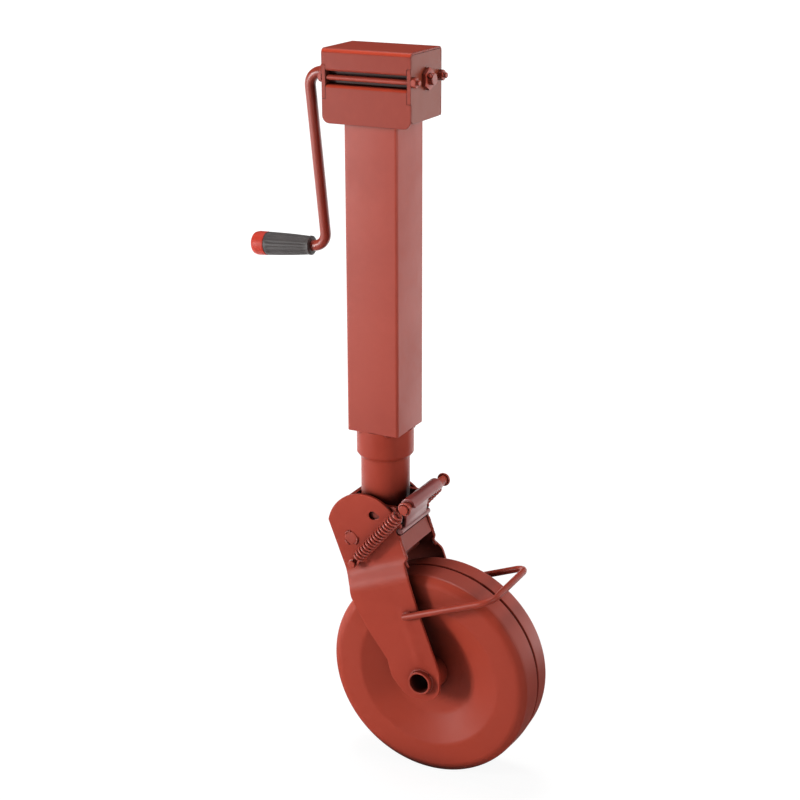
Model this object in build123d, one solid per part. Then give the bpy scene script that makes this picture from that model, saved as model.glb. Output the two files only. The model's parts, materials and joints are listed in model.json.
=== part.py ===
from build123d import *
import math
import os

# Jockey wheel with a crank, a square outer tube, a sliding stem and a folding wheel fork.
# Millimetres, Z up. The origin is on the axis of the square tube, at its lower end.
# X runs along the crank shaft, Y along the wheel's axle, away from the side with the spring seen first.

# Clearances
running_fit = 0.05
side_gap = 0.3
slide_gap = 0.3

# Square outer tube
tube_width = 82.0
tube_wall = 3.5
tube_corner = 4.0
tube_length = 451.5
tube_bore = tube_width - 2 * tube_wall

# Round guide bush welded under the square tube
bush_diameter = 84.0
bush_height = 38.0
bush_bevel = 6.0
bush_lip_edge = 1.5

# Gear head
head_left = 70.8
head_right = 65.2
head_depth = 95.5
side_plate = 6.0
base_plate = 8.0
cover_sheet = 3.0
head_height = 95.0
skirt_drop = 6.8
cover_bend = 7.0
skirt_corner = 11.0
plate_corner = 6.0
head_top = tube_length + head_height
inner_left = head_left - side_plate
inner_right = head_right - side_plate
plate_half = head_depth / 2 - cover_sheet

# Pressed groove across the front and the back of the cover, with the tie bolts in it
groove_low = 47.0
groove_high = 64.5
groove_depth = 11.75
groove_lip = 8.0
groove_bend = 1.0
tab_low = 24.5
tab_high = 75.5
tab_bevel = 3.0
bolt_spacing = 84.0
bolt_diameter = 8.0
bolt_flats = 13.0
bolt_head = 5.3
nut_height = 6.5
bolt_reach = 4.5

# Crank shaft and crank
shaft_height = 55.8
shaft_z = tube_length + shaft_height
shaft_diameter = 16.0
sleeve_diameter = 27.0
sleeve_inside = 5.0
arm_x = 117.4
arm_length = 264.0
arm_turn = 9.4
grip_droop = 3.9
elbow_radius = 22.0
wrist_radius = 19.0
sleeve_end = arm_x - elbow_radius - 1.0
collar_flats = 27.0
collar_height = 6.0
collar_spigot = 22.0
stub_reach = 12.8
cross_pin = 4.5
cross_pin_length = 24.0
cross_pin_turn = 32.0
cross_pin_step = 0.5

# Grip
grip_start = 20.5
grip_length = 88.0
grip_inner = 27.0
grip_outer = 36.0
grip_rib = 1.2
grip_ribs = 14
grip_rib_width = 3.6
grip_play = 0.2
grip_lip = 4.0
grip_plain_end = 6.0
cap_rounding = 5.5
cap_length = 20.0
cap_pocket = 7.0
rod_past_sleeve = 3.5
washer_diameter = 25.0
washer_sheet = 1.6

# Bevel gears
gear_module = 2.5
pinion_teeth = 16
crown_teeth = 24
tooth_face = 11.0
tooth_addendum = 2.0
tooth_dedendum = 2.9
tooth_play = 1.15
tooth_flank = 20.0
tooth_space_rise = 1.6
space_start = 0.55
space_end = 1.25
gear_rim = 1.5
crown_hub_step = 6.0
pinion_radius = gear_module * pinion_teeth / 2
crown_radius = gear_module * crown_teeth / 2
cone_length = math.hypot(pinion_radius, crown_radius)
hub_thickness = 8.0
pinion_hub = 30.0
gear_pin = 4.0
pinion_pin_step = 4.0

# Spindle and its bearing under the base plate
spindle_diameter = 30.0
journal_diameter = 25.0
spindle_bush_wall = 3.0
spindle_bush_flange = 44.0
spindle_bush_rim = 2.0
race_diameter = 52.0
race_height = 4.5
ball_diameter = 7.0
ball_count = 12
ball_circle = 38.0
ball_play = 0.1
race_space = 4.8
cage_sheet = 1.6
cage_step = 2.0
shoulder_diameter = 44.0
shoulder_height = 10.0
spindle_top_room = 9.0
spindle_tail = 5.0
stop_gap = 1.0
stop_diameter = 48.0
stop_height = 6.0
stop_pin = 6.0

# Lifting nut and the head of the stem
nut_park_gap = 9.5
flange_diameter = 56.0
flange_height = 8.0
guide_height = 35.0
washer_height = 3.0
swivel_washer_step = 2.0
nut_diameter = 44.0
stem_head_height = 20.0
retainer_diameter = 56.0
retainer_height = 9.5
stroke = 240.0

# Stem
stem_diameter = 72.0
stem_wall = 5.0
stem_bottom = -146.0

# Fork pivot, seen from the stem
pivot_x = -33.0
pivot_drop = 21.0
pivot_z = stem_bottom - pivot_drop
pivot_pin = 20.0
pivot_bush_wall = 4.0
cheek_inner = stem_diameter / 2
cheek_outer = 42.7
knuckle_sheet = 6.0
knuckle_left = -14.0
knuckle_top = 59.0
knuckle_bottom = -23.0
knuckle_ear = 72.0
knuckle_ear_low = 40.0
knuckle_reach = 74.3

# Fork plates, all heights and widths measured from the fork pivot
fork_plate = 5.0
fork_inner = cheek_outer + side_gap
fork_outer = fork_inner + fork_plate
leg_spread = 14.0
leg_right = 29.2
leg_below = 30.8
leg_end_rise = 48.0
leg_foot_x = 24.0
leg_heel_x = 49.0
leg_heel_rise = 27.0
leg_back_x = 57.0
leg_back_rise = 54.0
joggle_x = 44.0
joggle_z = -47.5
joggle_run = 18.0
joggle_tilt = 22.0
joggle_bend = 8.0
axle_x = 122.8
wheel_radius = 161.0
axle_drop = 40.2
axle_z = -wheel_radius - axle_drop
web_sheet = 6.0
web_top_x = 79.0
web_top_z = 16.0
web_low_x = 88.0
web_low_z = -6.5
notch_x = 80.0
notch_z = 24.5
notch_radius = 6.0
keyhole_x = 36.0
keyhole_z = 42.0
keyhole_radius = 6.5
keyhole_nose = 2.5
keyhole_length = 8.0
stop_bar = 12.0
stop_bar_x = 62.0

# Latch, springs and foot bar, measured from the fork pivot
rod_x = 97.0
rod_z = 70.0
rod_diameter = 14.0
rod_half = 71.0
rod_bevel = 0.8
spring_rod_step = 4.5
latch_sheet = 5.0
latch_foot_half = 34.5
latch_foot_height = 14.0
latch_near = 44.0
latch_far = 38.0
eye_near = 55.0
eye_end_angle = -3.0
tongue_reach = 46.5
stud_x = 8.0
stud_z = -35.0
stud_diameter = 9.0
stud_neck = 6.0
stud_head = 2.0
stud_reach = 15.0
spring_outside = 18.0
spring_wire = 2.7
spring_stand_off = 1.5
spring_turns = 16
spring_lead = 15.0
foot_bar = 10.0
foot_start_x = 95.0
foot_start_z = -101.0
foot_end_x = 236.0
foot_end_z = -46.0
foot_bend = 22.0

# Wheel and axle
wheel_half = 44.0
wheel_sheet = 3.0
tread_crown = 2.0
shoulder_radius = 9.0
annulus_inner = 118.0
dish_edge = 112.0
dish_depth = 8.0
hub_edge = 50.0
hub_depth = 22.0
seam_depth = 4.0
axle_diameter = 36.0
axle_bore = 30.0
axle_half = 70.8
hub_wall = 4.0
hub_bush_wall = 3.0
hub_half = 50.0
hub_bush_length = 24.0
spacer_diameter = 54.0


def box(x0, x1, y0, y1, z0, z1):
    """A block between two corners."""
    middle = Pos((x0 + x1) / 2, (y0 + y1) / 2, (z0 + z1) / 2)
    return middle * Box(x1 - x0, y1 - y0, z1 - z0)


def rod_z_axis(diameter, z0, z1, x=0.0, y=0.0):
    """A round bar that stands upright."""
    return Pos(x, y, (z0 + z1) / 2) * Cylinder(diameter / 2, z1 - z0)


def rod_x_axis(diameter, x0, x1, y=0.0, z=0.0):
    """A round bar along X."""
    return Pos((x0 + x1) / 2, y, z) * Rot(0, 90, 0) * Cylinder(diameter / 2, x1 - x0)


def rod_y_axis(diameter, y0, y1, x=0.0, z=0.0):
    """A round bar along Y."""
    return Pos(x, (y0 + y1) / 2, z) * Rot(90, 0, 0) * Cylinder(diameter / 2, y1 - y0)


def hexagon_bar(flats, x0, x1, y, z):
    """A six-sided bar along X, with two flats standing upright."""
    sketch = RegularPolygon(flats / 2, 6, major_radius=False)
    bar = extrude(Plane.YZ * sketch, amount=x1 - x0)
    return Pos(x0, y, z) * bar


def slab_xz(outline, y0, y1):
    """A flat plate whose outline lies in X and Z."""
    plate = extrude(Plane.XZ * make_face(outline), amount=y1 - y0)
    return Pos(0, y1, 0) * plate


def mirror_y(shape):
    """The same piece on the other side of the middle plane."""
    return mirror(shape, about=Plane.XZ)


def at_pivot(shape):
    """Moves a piece drawn from the fork pivot to its place on the stem."""
    return Pos(pivot_x, 0, pivot_z) * shape


def pair(shape):
    """A piece and its mirror image, as two solids."""
    return Compound(children=[shape, mirror_y(shape)])


# The square tube and its guide

def outer_tube():
    outside = RectangleRounded(tube_width, tube_width, tube_corner)
    inside = RectangleRounded(tube_bore, tube_bore, tube_corner - tube_wall)
    return extrude(outside - inside, amount=tube_length)


def guide_bush():
    bush = rod_z_axis(bush_diameter, -bush_height, 0)
    lip_height = bush_bevel
    lip = Pos(0, 0, -bush_height - lip_height / 2) * Rot(180, 0, 0)
    bush += lip * Cone(bush_diameter / 2, stem_diameter / 2 + bush_lip_edge, lip_height)
    bore = stem_diameter + 2 * running_fit
    return bush - rod_z_axis(bore, -bush_height - lip_height - 1, 1)


# The gear head

bush_hole = journal_diameter + 2 * running_fit + 2 * spindle_bush_wall


def head_base_plate():
    plate = box(-inner_left, inner_right, -plate_half, plate_half, tube_length, tube_length + base_plate)
    return plate - rod_z_axis(bush_hole, tube_length - 1, tube_length + base_plate + 1)


def side_plate_piece(x0, x1, shaft_hole):
    low = tube_length
    top = head_top - cover_sheet
    tab_half = head_depth / 2
    outline = Polyline(
        (-plate_half, low + plate_corner),
        (-plate_half, low + tab_low),
        (-tab_half, low + tab_low + tab_bevel),
        (-tab_half, low + tab_high - tab_bevel),
        (-plate_half, low + tab_high),
        (-plate_half, top - cover_bend + cover_sheet),
        (-plate_half + cover_bend - cover_sheet, top),
        (0, top),
        (0, low),
        (-plate_half + plate_corner, low),
        (-plate_half, low + plate_corner),
    )
    half = extrude(Plane.YZ * make_face(outline), amount=x1 - x0)
    plate = Pos(x0, 0, 0) * (half + mirror_y(half))
    plate -= rod_x_axis(shaft_hole, x0 - 1, x1 + 1, 0, shaft_z)
    for side in (-1, 1):
        plate -= rod_x_axis(bolt_diameter, x0 - 1, x1 + 1, side * bolt_spacing / 2, shaft_z)
    return plate


def side_plate_left():
    return side_plate_piece(-head_left, -inner_left, sleeve_diameter)


def side_plate_right():
    return side_plate_piece(inner_right, head_right, collar_spigot)


def cover_outline(inset):
    """Half of the cover's section in Y and Z, from the skirt over the groove to the top."""
    half = head_depth / 2 - inset
    floor = head_depth / 2 - groove_depth - inset
    low = tube_length + groove_low - inset
    high = tube_length + groove_high + inset
    top = head_top - inset
    lip = groove_lip - inset
    tight = groove_bend + inset
    upper = max(cover_sheet + groove_bend / 2 - inset, groove_bend / 2)
    line = FilletPolyline(
        (0, tube_length - skirt_drop),
        (half, tube_length - skirt_drop),
        (half, low),
        (floor, low),
        (floor, high),
        (half, high),
        (half, top),
        (0, top),
        radius=[0, lip, tight, tight, upper, cover_bend - inset],
    )
    return make_face(Curve() + line + Line((0, top), (0, tube_length - skirt_drop)))


def head_cover():
    width = head_left + head_right
    shell = extrude(Plane.YZ * (cover_outline(0) - cover_outline(cover_sheet)), amount=width)
    shell = Pos(-head_left, 0, 0) * (shell + mirror_y(shell))
    skirt = tube_length - skirt_drop
    deep = head_depth / 2 + 1
    shell -= box(-inner_left, inner_right, -plate_half, plate_half, skirt - 1, tube_length)
    shell -= box(-head_left - 1, head_right + 1, -plate_half, plate_half, skirt - 1, skirt + cover_sheet + 1)
    tab_z0 = tube_length + tab_low
    tab_z1 = tube_length + tab_high
    notch = Polyline(
        (-plate_half, tab_z0),
        (-deep, tab_z0 + tab_bevel * (deep - plate_half) / cover_sheet),
        (-deep, tab_z1 - tab_bevel * (deep - plate_half) / cover_sheet),
        (-plate_half, tab_z1),
        (-plate_half + groove_depth, tab_z1),
        (-plate_half + groove_depth, tab_z0),
        (-plate_half, tab_z0),
    )
    cut = extrude(Plane.YZ * make_face(notch), amount=side_plate + 1)
    cuts = cut + mirror_y(cut)
    shell -= Pos(-head_left - 1, 0, 0) * cuts
    shell -= Pos(inner_right, 0, 0) * cuts
    front = FilletPolyline(
        (-head_left, skirt),
        (head_right, skirt),
        (head_right, head_top + 1),
        (-head_left, head_top + 1),
        close=True,
        radius=[skirt_corner, skirt_corner, 0, 0],
    )
    shell &= slab_xz(front, -deep, deep)
    return shell - box(-head_left - 1, head_right + 1, 0, deep, skirt - 1, tube_length)


def tie_bolts():
    bolts = []
    for side in (-1, 1):
        y = side * bolt_spacing / 2
        end = head_right + nut_height + bolt_reach
        bolt = rod_x_axis(bolt_diameter, -head_left, end, y, shaft_z)
        bolt += hexagon_bar(bolt_flats, -head_left - bolt_head, -head_left, y, shaft_z)
        bolts.append(bolt)
    return Compound(children=bolts)


def tie_nuts():
    nuts = []
    for side in (-1, 1):
        y = side * bolt_spacing / 2
        nut = hexagon_bar(bolt_flats, head_right, head_right + nut_height, y, shaft_z)
        nut -= rod_x_axis(bolt_diameter, head_right - 1, head_right + nut_height + 1, y, shaft_z)
        nuts.append(nut)
    return Compound(children=nuts)


shaft_bore = shaft_diameter + 2 * running_fit


def shaft_sleeve():
    sleeve = rod_x_axis(sleeve_diameter, -sleeve_end, -inner_left + sleeve_inside, 0, shaft_z)
    return sleeve - rod_x_axis(shaft_bore, -sleeve_end - 1, -inner_left + sleeve_inside + 1, 0, shaft_z)


def shaft_bush():
    end = head_right + collar_height
    bush = rod_x_axis(collar_spigot, inner_right - sleeve_inside, head_right, 0, shaft_z)
    bush += hexagon_bar(collar_flats, head_right, end, 0, shaft_z)
    return bush - rod_x_axis(shaft_bore, inner_right - sleeve_inside - 1, end + 1, 0, shaft_z)


# The crank

def crank_down(distance):
    """The direction of the arm, from the shaft to the grip, times a distance."""
    angle = math.radians(arm_turn)
    return Vector(0, math.sin(angle), -math.cos(angle)) * distance


def crank_out(distance):
    """The direction of the grip's axis, times a distance."""
    angle = math.radians(grip_droop)
    return Vector(-math.cos(angle), 0, 0) * distance + crank_down(math.sin(angle) * distance)


def wrist_point():
    return Vector(-arm_x, 0, shaft_z) + crank_down(arm_length)


def on_grip(shape):
    """Moves a piece that is drawn along +Z from the wrist onto the grip's axis."""
    place = Plane(origin=wrist_point(), z_dir=crank_out(1.0), x_dir=crank_down(1.0).cross(crank_out(1.0)))
    return place.location * shape


rod_end = grip_start + grip_length + rod_past_sleeve


def crank_rod():
    start = Vector(head_right + stub_reach, 0, shaft_z)
    line = FilletPolyline(
        start,
        Vector(-arm_x, 0, shaft_z),
        wrist_point(),
        wrist_point() + crank_out(rod_end),
        radius=[elbow_radius, wrist_radius],
    )
    section = Plane(origin=start, z_dir=(-1, 0, 0)) * Circle(shaft_diameter / 2)
    rod = sweep(section, path=line)
    rod -= rod_z_axis(gear_pin, shaft_z - shaft_diameter, shaft_z + shaft_diameter, -pinion_pin_x, 0)
    return rod - cross_pin_bar(3 * cross_pin_length)


cross_pin_x = head_right + collar_height + side_gap + cross_pin / 2 + cross_pin_step


def cross_pin_bar(length):
    """A round bar across the shaft's right end, with its near end turned upwards."""
    bar = rod_y_axis(cross_pin, -length / 2, length / 2)
    return Pos(cross_pin_x, 0, shaft_z) * Rot(-cross_pin_turn, 0, 0) * bar


def end_pin():
    return cross_pin_bar(cross_pin_length)


def grip_washer():
    start = rod_end - washer_sheet
    ring = Cylinder(washer_diameter / 2, washer_sheet) - Cylinder(shaft_diameter / 2, 3 * washer_sheet)
    return on_grip(Pos(0, 0, start + washer_sheet / 2) * ring)


def grip_sleeve():
    body = Pos(0, 0, grip_start + grip_length / 2) * Cone(grip_inner / 2, grip_outer / 2 - grip_rib, grip_length)
    lean = math.degrees(math.atan((grip_outer / 2 - grip_rib - grip_inner / 2) / grip_length))
    rib_length = grip_length - 2 * grip_plain_end - grip_lip
    rib_middle = grip_start + grip_plain_end + grip_lip + rib_length / 2
    for index in range(grip_ribs):
        turn = Rot(0, 0, index * 360 / grip_ribs)
        middle = (grip_inner / 2 + grip_outer / 2 - grip_rib) / 2
        rib = Pos(middle, 0, rib_middle) * Rot(0, lean, 0) * Box(2 * grip_rib, grip_rib_width, rib_length)
        body += turn * rib
    body += Pos(0, 0, grip_start + grip_lip / 2) * Cylinder(grip_inner / 2 + grip_rib, grip_lip)
    bore = Pos(0, 0, grip_start + grip_length / 2) * Cylinder(shaft_diameter / 2 + grip_play, 2 * grip_length)
    return on_grip(body - bore)


def grip_cap():
    start = grip_start + grip_length
    cap = Pos(0, 0, start + cap_length / 2) * Cylinder(grip_outer / 2, cap_length)
    cap = fillet(cap.edges().sort_by(Axis.Z)[-1], cap_rounding)
    pocket_radius = washer_diameter / 2 + 1
    cap -= Pos(0, 0, start + cap_pocket / 2) * Cylinder(pocket_radius, cap_pocket)
    return on_grip(cap)


# Bevel gears. Every tooth space is a wedge that runs to the point where both axes meet.

def gear_blank(pitch_radius, other_radius, hub_radius):
    """The gear's body along +Z below the meeting point, before its teeth are cut."""
    cone = math.atan2(pitch_radius, other_radius)
    along = Vector(math.sin(cone), -math.cos(cone))
    outward = Vector(math.cos(cone), math.sin(cone))
    inner = 1 - tooth_face / cone_length
    tip_big = along * cone_length + outward * tooth_addendum
    tip_small = along * (cone_length * inner) + outward * (tooth_addendum * inner)
    root_big = along * cone_length - outward * (tooth_dedendum + gear_rim)
    back = root_big.Y - hub_thickness / 2
    outline = Polyline(
        (0, tip_small.Y),
        (tip_small.X, tip_small.Y),
        (tip_big.X, tip_big.Y),
        (root_big.X, root_big.Y),
        (hub_radius, back),
        (0, back),
        (0, tip_small.Y),
    )
    return revolve(Plane.XZ * make_face(outline), axis=Axis.Z), back


def tooth_space(pitch_radius, other_radius, teeth):
    """One wedge-shaped space, at X+, running towards the meeting point."""
    cone = math.atan2(pitch_radius, other_radius)
    along = Vector(math.sin(cone), 0, -math.cos(cone))
    outward = Vector(math.cos(cone), 0, math.sin(cone))
    flank = math.tan(math.radians(tooth_flank))
    gap = math.pi * pitch_radius / teeth + tooth_play / 2
    high = tooth_addendum * tooth_space_rise
    low = -tooth_dedendum
    sections = []
    for share in (space_start, space_end):
        place = Plane(origin=along * (cone_length * share), z_dir=along, x_dir=outward)
        wide = gap / 2 + high * flank
        narrow = gap / 2 + low * flank
        corners = [(low, -narrow), (high, -wide), (high, wide), (low, narrow)]
        sketch = make_face(Polyline(*[(a * share, b * share) for a, b in corners], close=True))
        sections.append(place * sketch)
    return loft(sections)


def bevel_gear(pitch_radius, other_radius, teeth, hub_radius, bore, phase):
    blank, back = gear_blank(pitch_radius, other_radius, hub_radius)
    space = tooth_space(pitch_radius, other_radius, teeth)
    spaces = [Rot(0, 0, (index + phase) * 360 / teeth) * space for index in range(teeth)]
    gear = blank - spaces
    return gear - Cylinder(bore / 2, 4 * crown_radius)


def gear_back(pitch_radius, other_radius):
    """How far the back of a gear lies from the point where both axes meet."""
    cone = math.atan2(pitch_radius, other_radius)
    return cone_length * math.cos(cone) + math.sin(cone) * (tooth_dedendum + gear_rim) + hub_thickness / 2


crown_back_z = shaft_z - gear_back(crown_radius, pinion_radius)
pinion_back_x = gear_back(pinion_radius, crown_radius)
pinion_pin_x = pinion_back_x + pinion_pin_step
crown_hub_low = tube_length + base_plate + spindle_bush_rim
crown_pin_z = (crown_hub_low + crown_back_z) / 2


def crown_gear():
    gear = bevel_gear(crown_radius, pinion_radius, crown_teeth, crown_radius - crown_hub_step, journal_diameter, 0.0)
    gear = Pos(0, 0, shaft_z) * gear
    hub = rod_z_axis(spindle_bush_flange - 2, crown_hub_low, crown_back_z)
    gear += hub - rod_z_axis(journal_diameter, crown_hub_low - 1, crown_back_z + 1)
    return gear - rod_y_axis(gear_pin, -crown_radius, crown_radius, 0, crown_pin_z)


def crown_gear_pin():
    half = (spindle_bush_flange - 2) / 2
    return rod_y_axis(gear_pin, -half, half, 0, crown_pin_z)


def crank_pinion():
    gear = bevel_gear(pinion_radius, crown_radius, pinion_teeth, pinion_hub / 2, shaft_diameter, 0.5)
    gear = Pos(0, 0, shaft_z) * Rot(0, 90, 0) * gear
    hub = rod_x_axis(pinion_hub, -pinion_back_x - hub_thickness, -pinion_back_x, 0, shaft_z)
    gear += hub - rod_x_axis(shaft_diameter, -pinion_back_x - hub_thickness - 1, -pinion_back_x + 1, 0, shaft_z)
    return gear - rod_z_axis(gear_pin, shaft_z - pinion_hub, shaft_z + pinion_hub, -pinion_pin_x, 0)


def pinion_pin():
    return rod_z_axis(gear_pin, shaft_z - pinion_hub / 2, shaft_z + pinion_hub / 2, -pinion_pin_x, 0)


# The spindle and its bearing

race_top_z = tube_length
upper_race_z = race_top_z - race_height
lower_race_z = upper_race_z - race_space
shoulder_top_z = lower_race_z - race_height
shoulder_low_z = shoulder_top_z - shoulder_height
spindle_top_z = shaft_z - shaft_diameter / 2 - spindle_top_room
ball_z = (upper_race_z + lower_race_z) / 2
nut_top_z = shoulder_low_z - nut_park_gap
guide_top_z = nut_top_z - flange_height
guide_low_z = guide_top_z - guide_height
stem_top_z = guide_low_z - washer_height
head_ring_z = stem_top_z - stem_head_height
nut_low_z = head_ring_z - side_gap - retainer_height
stop_low_z = nut_low_z - stroke - stop_gap - stop_height
stop_pin_z = stop_low_z - stop_pin / 2
spindle_low_z = stop_low_z - stop_pin - spindle_tail


def spindle_bush():
    top = tube_length + base_plate
    bush = rod_z_axis(bush_hole, tube_length, top)
    bush += rod_z_axis(spindle_bush_flange, top, top + spindle_bush_rim)
    bore = journal_diameter + 2 * running_fit
    return bush - rod_z_axis(bore, tube_length - 1, top + spindle_bush_rim + 1)


def ball_track():
    return Pos(0, 0, ball_z) * Torus(ball_circle / 2, ball_diameter / 2 + ball_play)


def thrust_race_upper():
    race = rod_z_axis(race_diameter, upper_race_z, race_top_z)
    race -= rod_z_axis(journal_diameter + 2 * side_gap, upper_race_z - 1, race_top_z + 1)
    return race - ball_track()


def thrust_race_lower():
    race = rod_z_axis(race_diameter, shoulder_top_z, lower_race_z)
    race -= rod_z_axis(journal_diameter, shoulder_top_z - 1, lower_race_z + 1)
    return race - ball_track()


def thrust_balls():
    balls = []
    for index in range(ball_count):
        turn = Rot(0, 0, index * 360 / ball_count)
        balls.append(turn * Pos(ball_circle / 2, 0, ball_z) * Sphere(ball_diameter / 2))
    return Compound(children=balls)


def ball_cage():
    low = ball_z - cage_sheet / 2
    high = ball_z + cage_sheet / 2
    cage = rod_z_axis(race_diameter - 2 * cage_step, low, high)
    cage -= rod_z_axis(journal_diameter + 2 * side_gap, low - 1, high + 1)
    pockets = []
    for index in range(ball_count):
        turn = Rot(0, 0, index * 360 / ball_count)
        pockets.append(turn * Pos(ball_circle / 2, 0, ball_z) * Cylinder(ball_diameter / 2 + ball_play, 3 * cage_sheet))
    return cage - pockets


def spindle():
    bar = rod_z_axis(spindle_diameter, spindle_low_z, shoulder_low_z)
    bar += rod_z_axis(shoulder_diameter, shoulder_low_z, shoulder_top_z)
    bar += rod_z_axis(journal_diameter, shoulder_top_z, spindle_top_z)
    bar -= rod_y_axis(gear_pin, -spindle_diameter, spindle_diameter, 0, crown_pin_z)
    return bar - rod_y_axis(stop_pin, -spindle_diameter, spindle_diameter, 0, stop_pin_z)


def spindle_stop():
    ring = rod_z_axis(stop_diameter, stop_low_z, stop_low_z + stop_height)
    return ring - rod_z_axis(spindle_diameter, stop_low_z - 1, stop_low_z + stop_height + 1)


def spindle_stop_pin():
    return rod_y_axis(stop_pin, -stop_diameter / 2, stop_diameter / 2, 0, stop_pin_z)


# The lifting nut, its square guide and the head of the stem

def lifting_nut():
    nut = rod_z_axis(flange_diameter, guide_top_z, nut_top_z)
    nut += rod_z_axis(nut_diameter, nut_low_z, guide_top_z)
    return nut - rod_z_axis(spindle_diameter + 2 * running_fit, nut_low_z - 1, nut_top_z + 1)


def nut_guide():
    width = tube_bore - 2 * slide_gap
    guide = extrude(RectangleRounded(width, width, tube_corner - tube_wall), amount=guide_height)
    guide = Pos(0, 0, guide_low_z) * guide
    return guide - rod_z_axis(nut_diameter, guide_low_z - 1, guide_top_z + 1)


def nut_retainer():
    ring = rod_z_axis(retainer_diameter, nut_low_z, nut_low_z + retainer_height)
    return ring - rod_z_axis(nut_diameter, nut_low_z - 1, nut_low_z + retainer_height + 1)


def swivel_washer():
    washer = rod_z_axis(stem_diameter - 2 * swivel_washer_step, stem_top_z, guide_low_z)
    return washer - rod_z_axis(nut_diameter + 2 * side_gap, stem_top_z - 1, guide_low_z + 1)


def stem_head():
    ring = rod_z_axis(stem_diameter - 2 * stem_wall, head_ring_z, stem_top_z)
    return ring - rod_z_axis(nut_diameter + 2 * running_fit, head_ring_z - 1, stem_top_z + 1)


def stem_tube():
    tube = rod_z_axis(stem_diameter, stem_bottom, stem_top_z)
    return tube - rod_z_axis(stem_diameter - 2 * stem_wall, stem_bottom - 1, stem_top_z + 1)


# The knuckle under the stem, drawn from the fork pivot

pivot_bore = pivot_pin + 2 * running_fit
pivot_bush_diameter = pivot_bore + 2 * pivot_bush_wall


def knuckle_cheek():
    blank = Polyline(
        (knuckle_left, knuckle_bottom),
        (knuckle_reach, knuckle_bottom),
        (knuckle_reach, knuckle_ear_low),
        (knuckle_ear, knuckle_ear_low),
        (knuckle_ear, knuckle_top),
        (knuckle_left, knuckle_top),
        close=True,
    )
    cheek = slab_xz(blank, -cheek_outer, -cheek_inner)
    lower = box(0, 2 * knuckle_ear, -cheek_outer - 1, 0, 2 * knuckle_bottom, knuckle_ear_low)
    lower -= rod_y_axis(2 * knuckle_reach, -2 * cheek_outer, 2 * cheek_outer)
    cheek -= lower
    return cheek - rod_y_axis(pivot_bush_diameter, -2 * cheek_outer, 2 * cheek_outer)


def knuckle_cheek_near():
    return at_pivot(knuckle_cheek())


def knuckle_cheek_far():
    return mirror_y(knuckle_cheek_near())


def knuckle_wall():
    wall = box(knuckle_left, knuckle_left + knuckle_sheet, -cheek_inner, cheek_inner, knuckle_bottom, knuckle_top)
    wall -= rod_y_axis(pivot_bush_diameter, -2 * cheek_outer, 2 * cheek_outer)
    wall = at_pivot(wall)
    return wall - rod_z_axis(stem_diameter, stem_bottom, 0)


def knuckle_floor():
    left = pivot_x + knuckle_left + knuckle_sheet
    right = stem_diameter / 2
    return box(left, right, -cheek_inner, cheek_inner, stem_bottom - knuckle_sheet, stem_bottom)


def pivot_bush():
    return at_pivot(rod_y_axis(pivot_bush_diameter, -cheek_outer, cheek_outer) - rod_y_axis(pivot_bore, -fork_outer, fork_outer))


# The fork, drawn from its pivot

def fork_outline():
    """The plate's outline: a round head, a waist and a leg with a round end at the axle."""
    head_start = (-38.6, 23.0)
    head_middle = (21.0, 72.5)
    head_end = (62.0, 56.0)
    leg_reach = axle_x + leg_right
    leg_low = axle_z - leg_below
    edge = FilletPolyline(
        head_end,
        (82.0, 34.0),
        (81.0, 17.0),
        (91.5, -15.5),
        (88.5, -23.0),
        (98.5, -38.0),
        (115.5, -88.0),
        (leg_reach, leg_low + leg_end_rise),
        (leg_reach, leg_low),
        (axle_x - leg_foot_x, leg_low),
        (axle_x - leg_heel_x, leg_low + leg_heel_rise),
        (axle_x - leg_back_x, leg_low + leg_back_rise),
        (30.7, -132.0),
        (6.0, -90.0),
        (2.0, -74.0),
        (-7.0, -57.0),
        head_start,
        radius=[4, 3, 3, 4, 12, 30, 20, 28, 25, 15, 12, 40, 12, 8, 10],
    )
    return Curve() + ThreePointArc(head_start, head_middle, head_end) + edge


def joggle_band():
    """The plate's own bend: a thick line from the head down to the leg, with its bends square to the leg."""
    top = joggle_run / 2
    slope = math.atan2(leg_spread, joggle_run)
    shift = fork_plate * math.tan(slope / 2)
    far = 2 * rod_z - 2 * axle_z
    leg_inner = fork_inner + leg_spread
    leg_outer = fork_outer + leg_spread
    sharp = joggle_bend
    wide = joggle_bend + fork_plate
    band = FilletPolyline(
        (-fork_inner, far),
        (-fork_inner, top),
        (-leg_inner, -top),
        (-leg_inner, -far),
        (-leg_outer, -far),
        (-leg_outer, -top + shift),
        (-fork_outer, top + shift),
        (-fork_outer, far),
        close=True,
        radius=[0, wide, sharp, 0, 0, wide, sharp, 0],
    )
    bar = extrude(Plane.YZ * make_face(band), amount=far)
    return Pos(joggle_x, 0, joggle_z) * Rot(0, -joggle_tilt, 0) * Pos(-far / 2, 0, 0) * bar


def keyhole():
    ends = Pos(keyhole_x, keyhole_z) * Circle(keyhole_radius)
    ends += Pos(keyhole_x + keyhole_length, keyhole_z) * Circle(keyhole_nose)
    return extrude(Plane.XZ * make_hull(ends.edges()), amount=2 * fork_outer)


def fork_plate_near():
    leg_outer = fork_outer + leg_spread
    plate = slab_xz(fork_outline(), -leg_outer - 1, -fork_inner + 1) & joggle_band()
    plate -= rod_y_axis(pivot_pin, -2 * fork_outer, 0)
    plate -= rod_y_axis(2 * notch_radius, -2 * fork_outer, 0, notch_x, notch_z)
    plate -= rod_y_axis(axle_diameter, -2 * fork_outer, 0, axle_x, axle_z)
    plate -= keyhole()
    return at_pivot(plate)


def fork_plate_far():
    return mirror_y(fork_plate_near())


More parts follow.
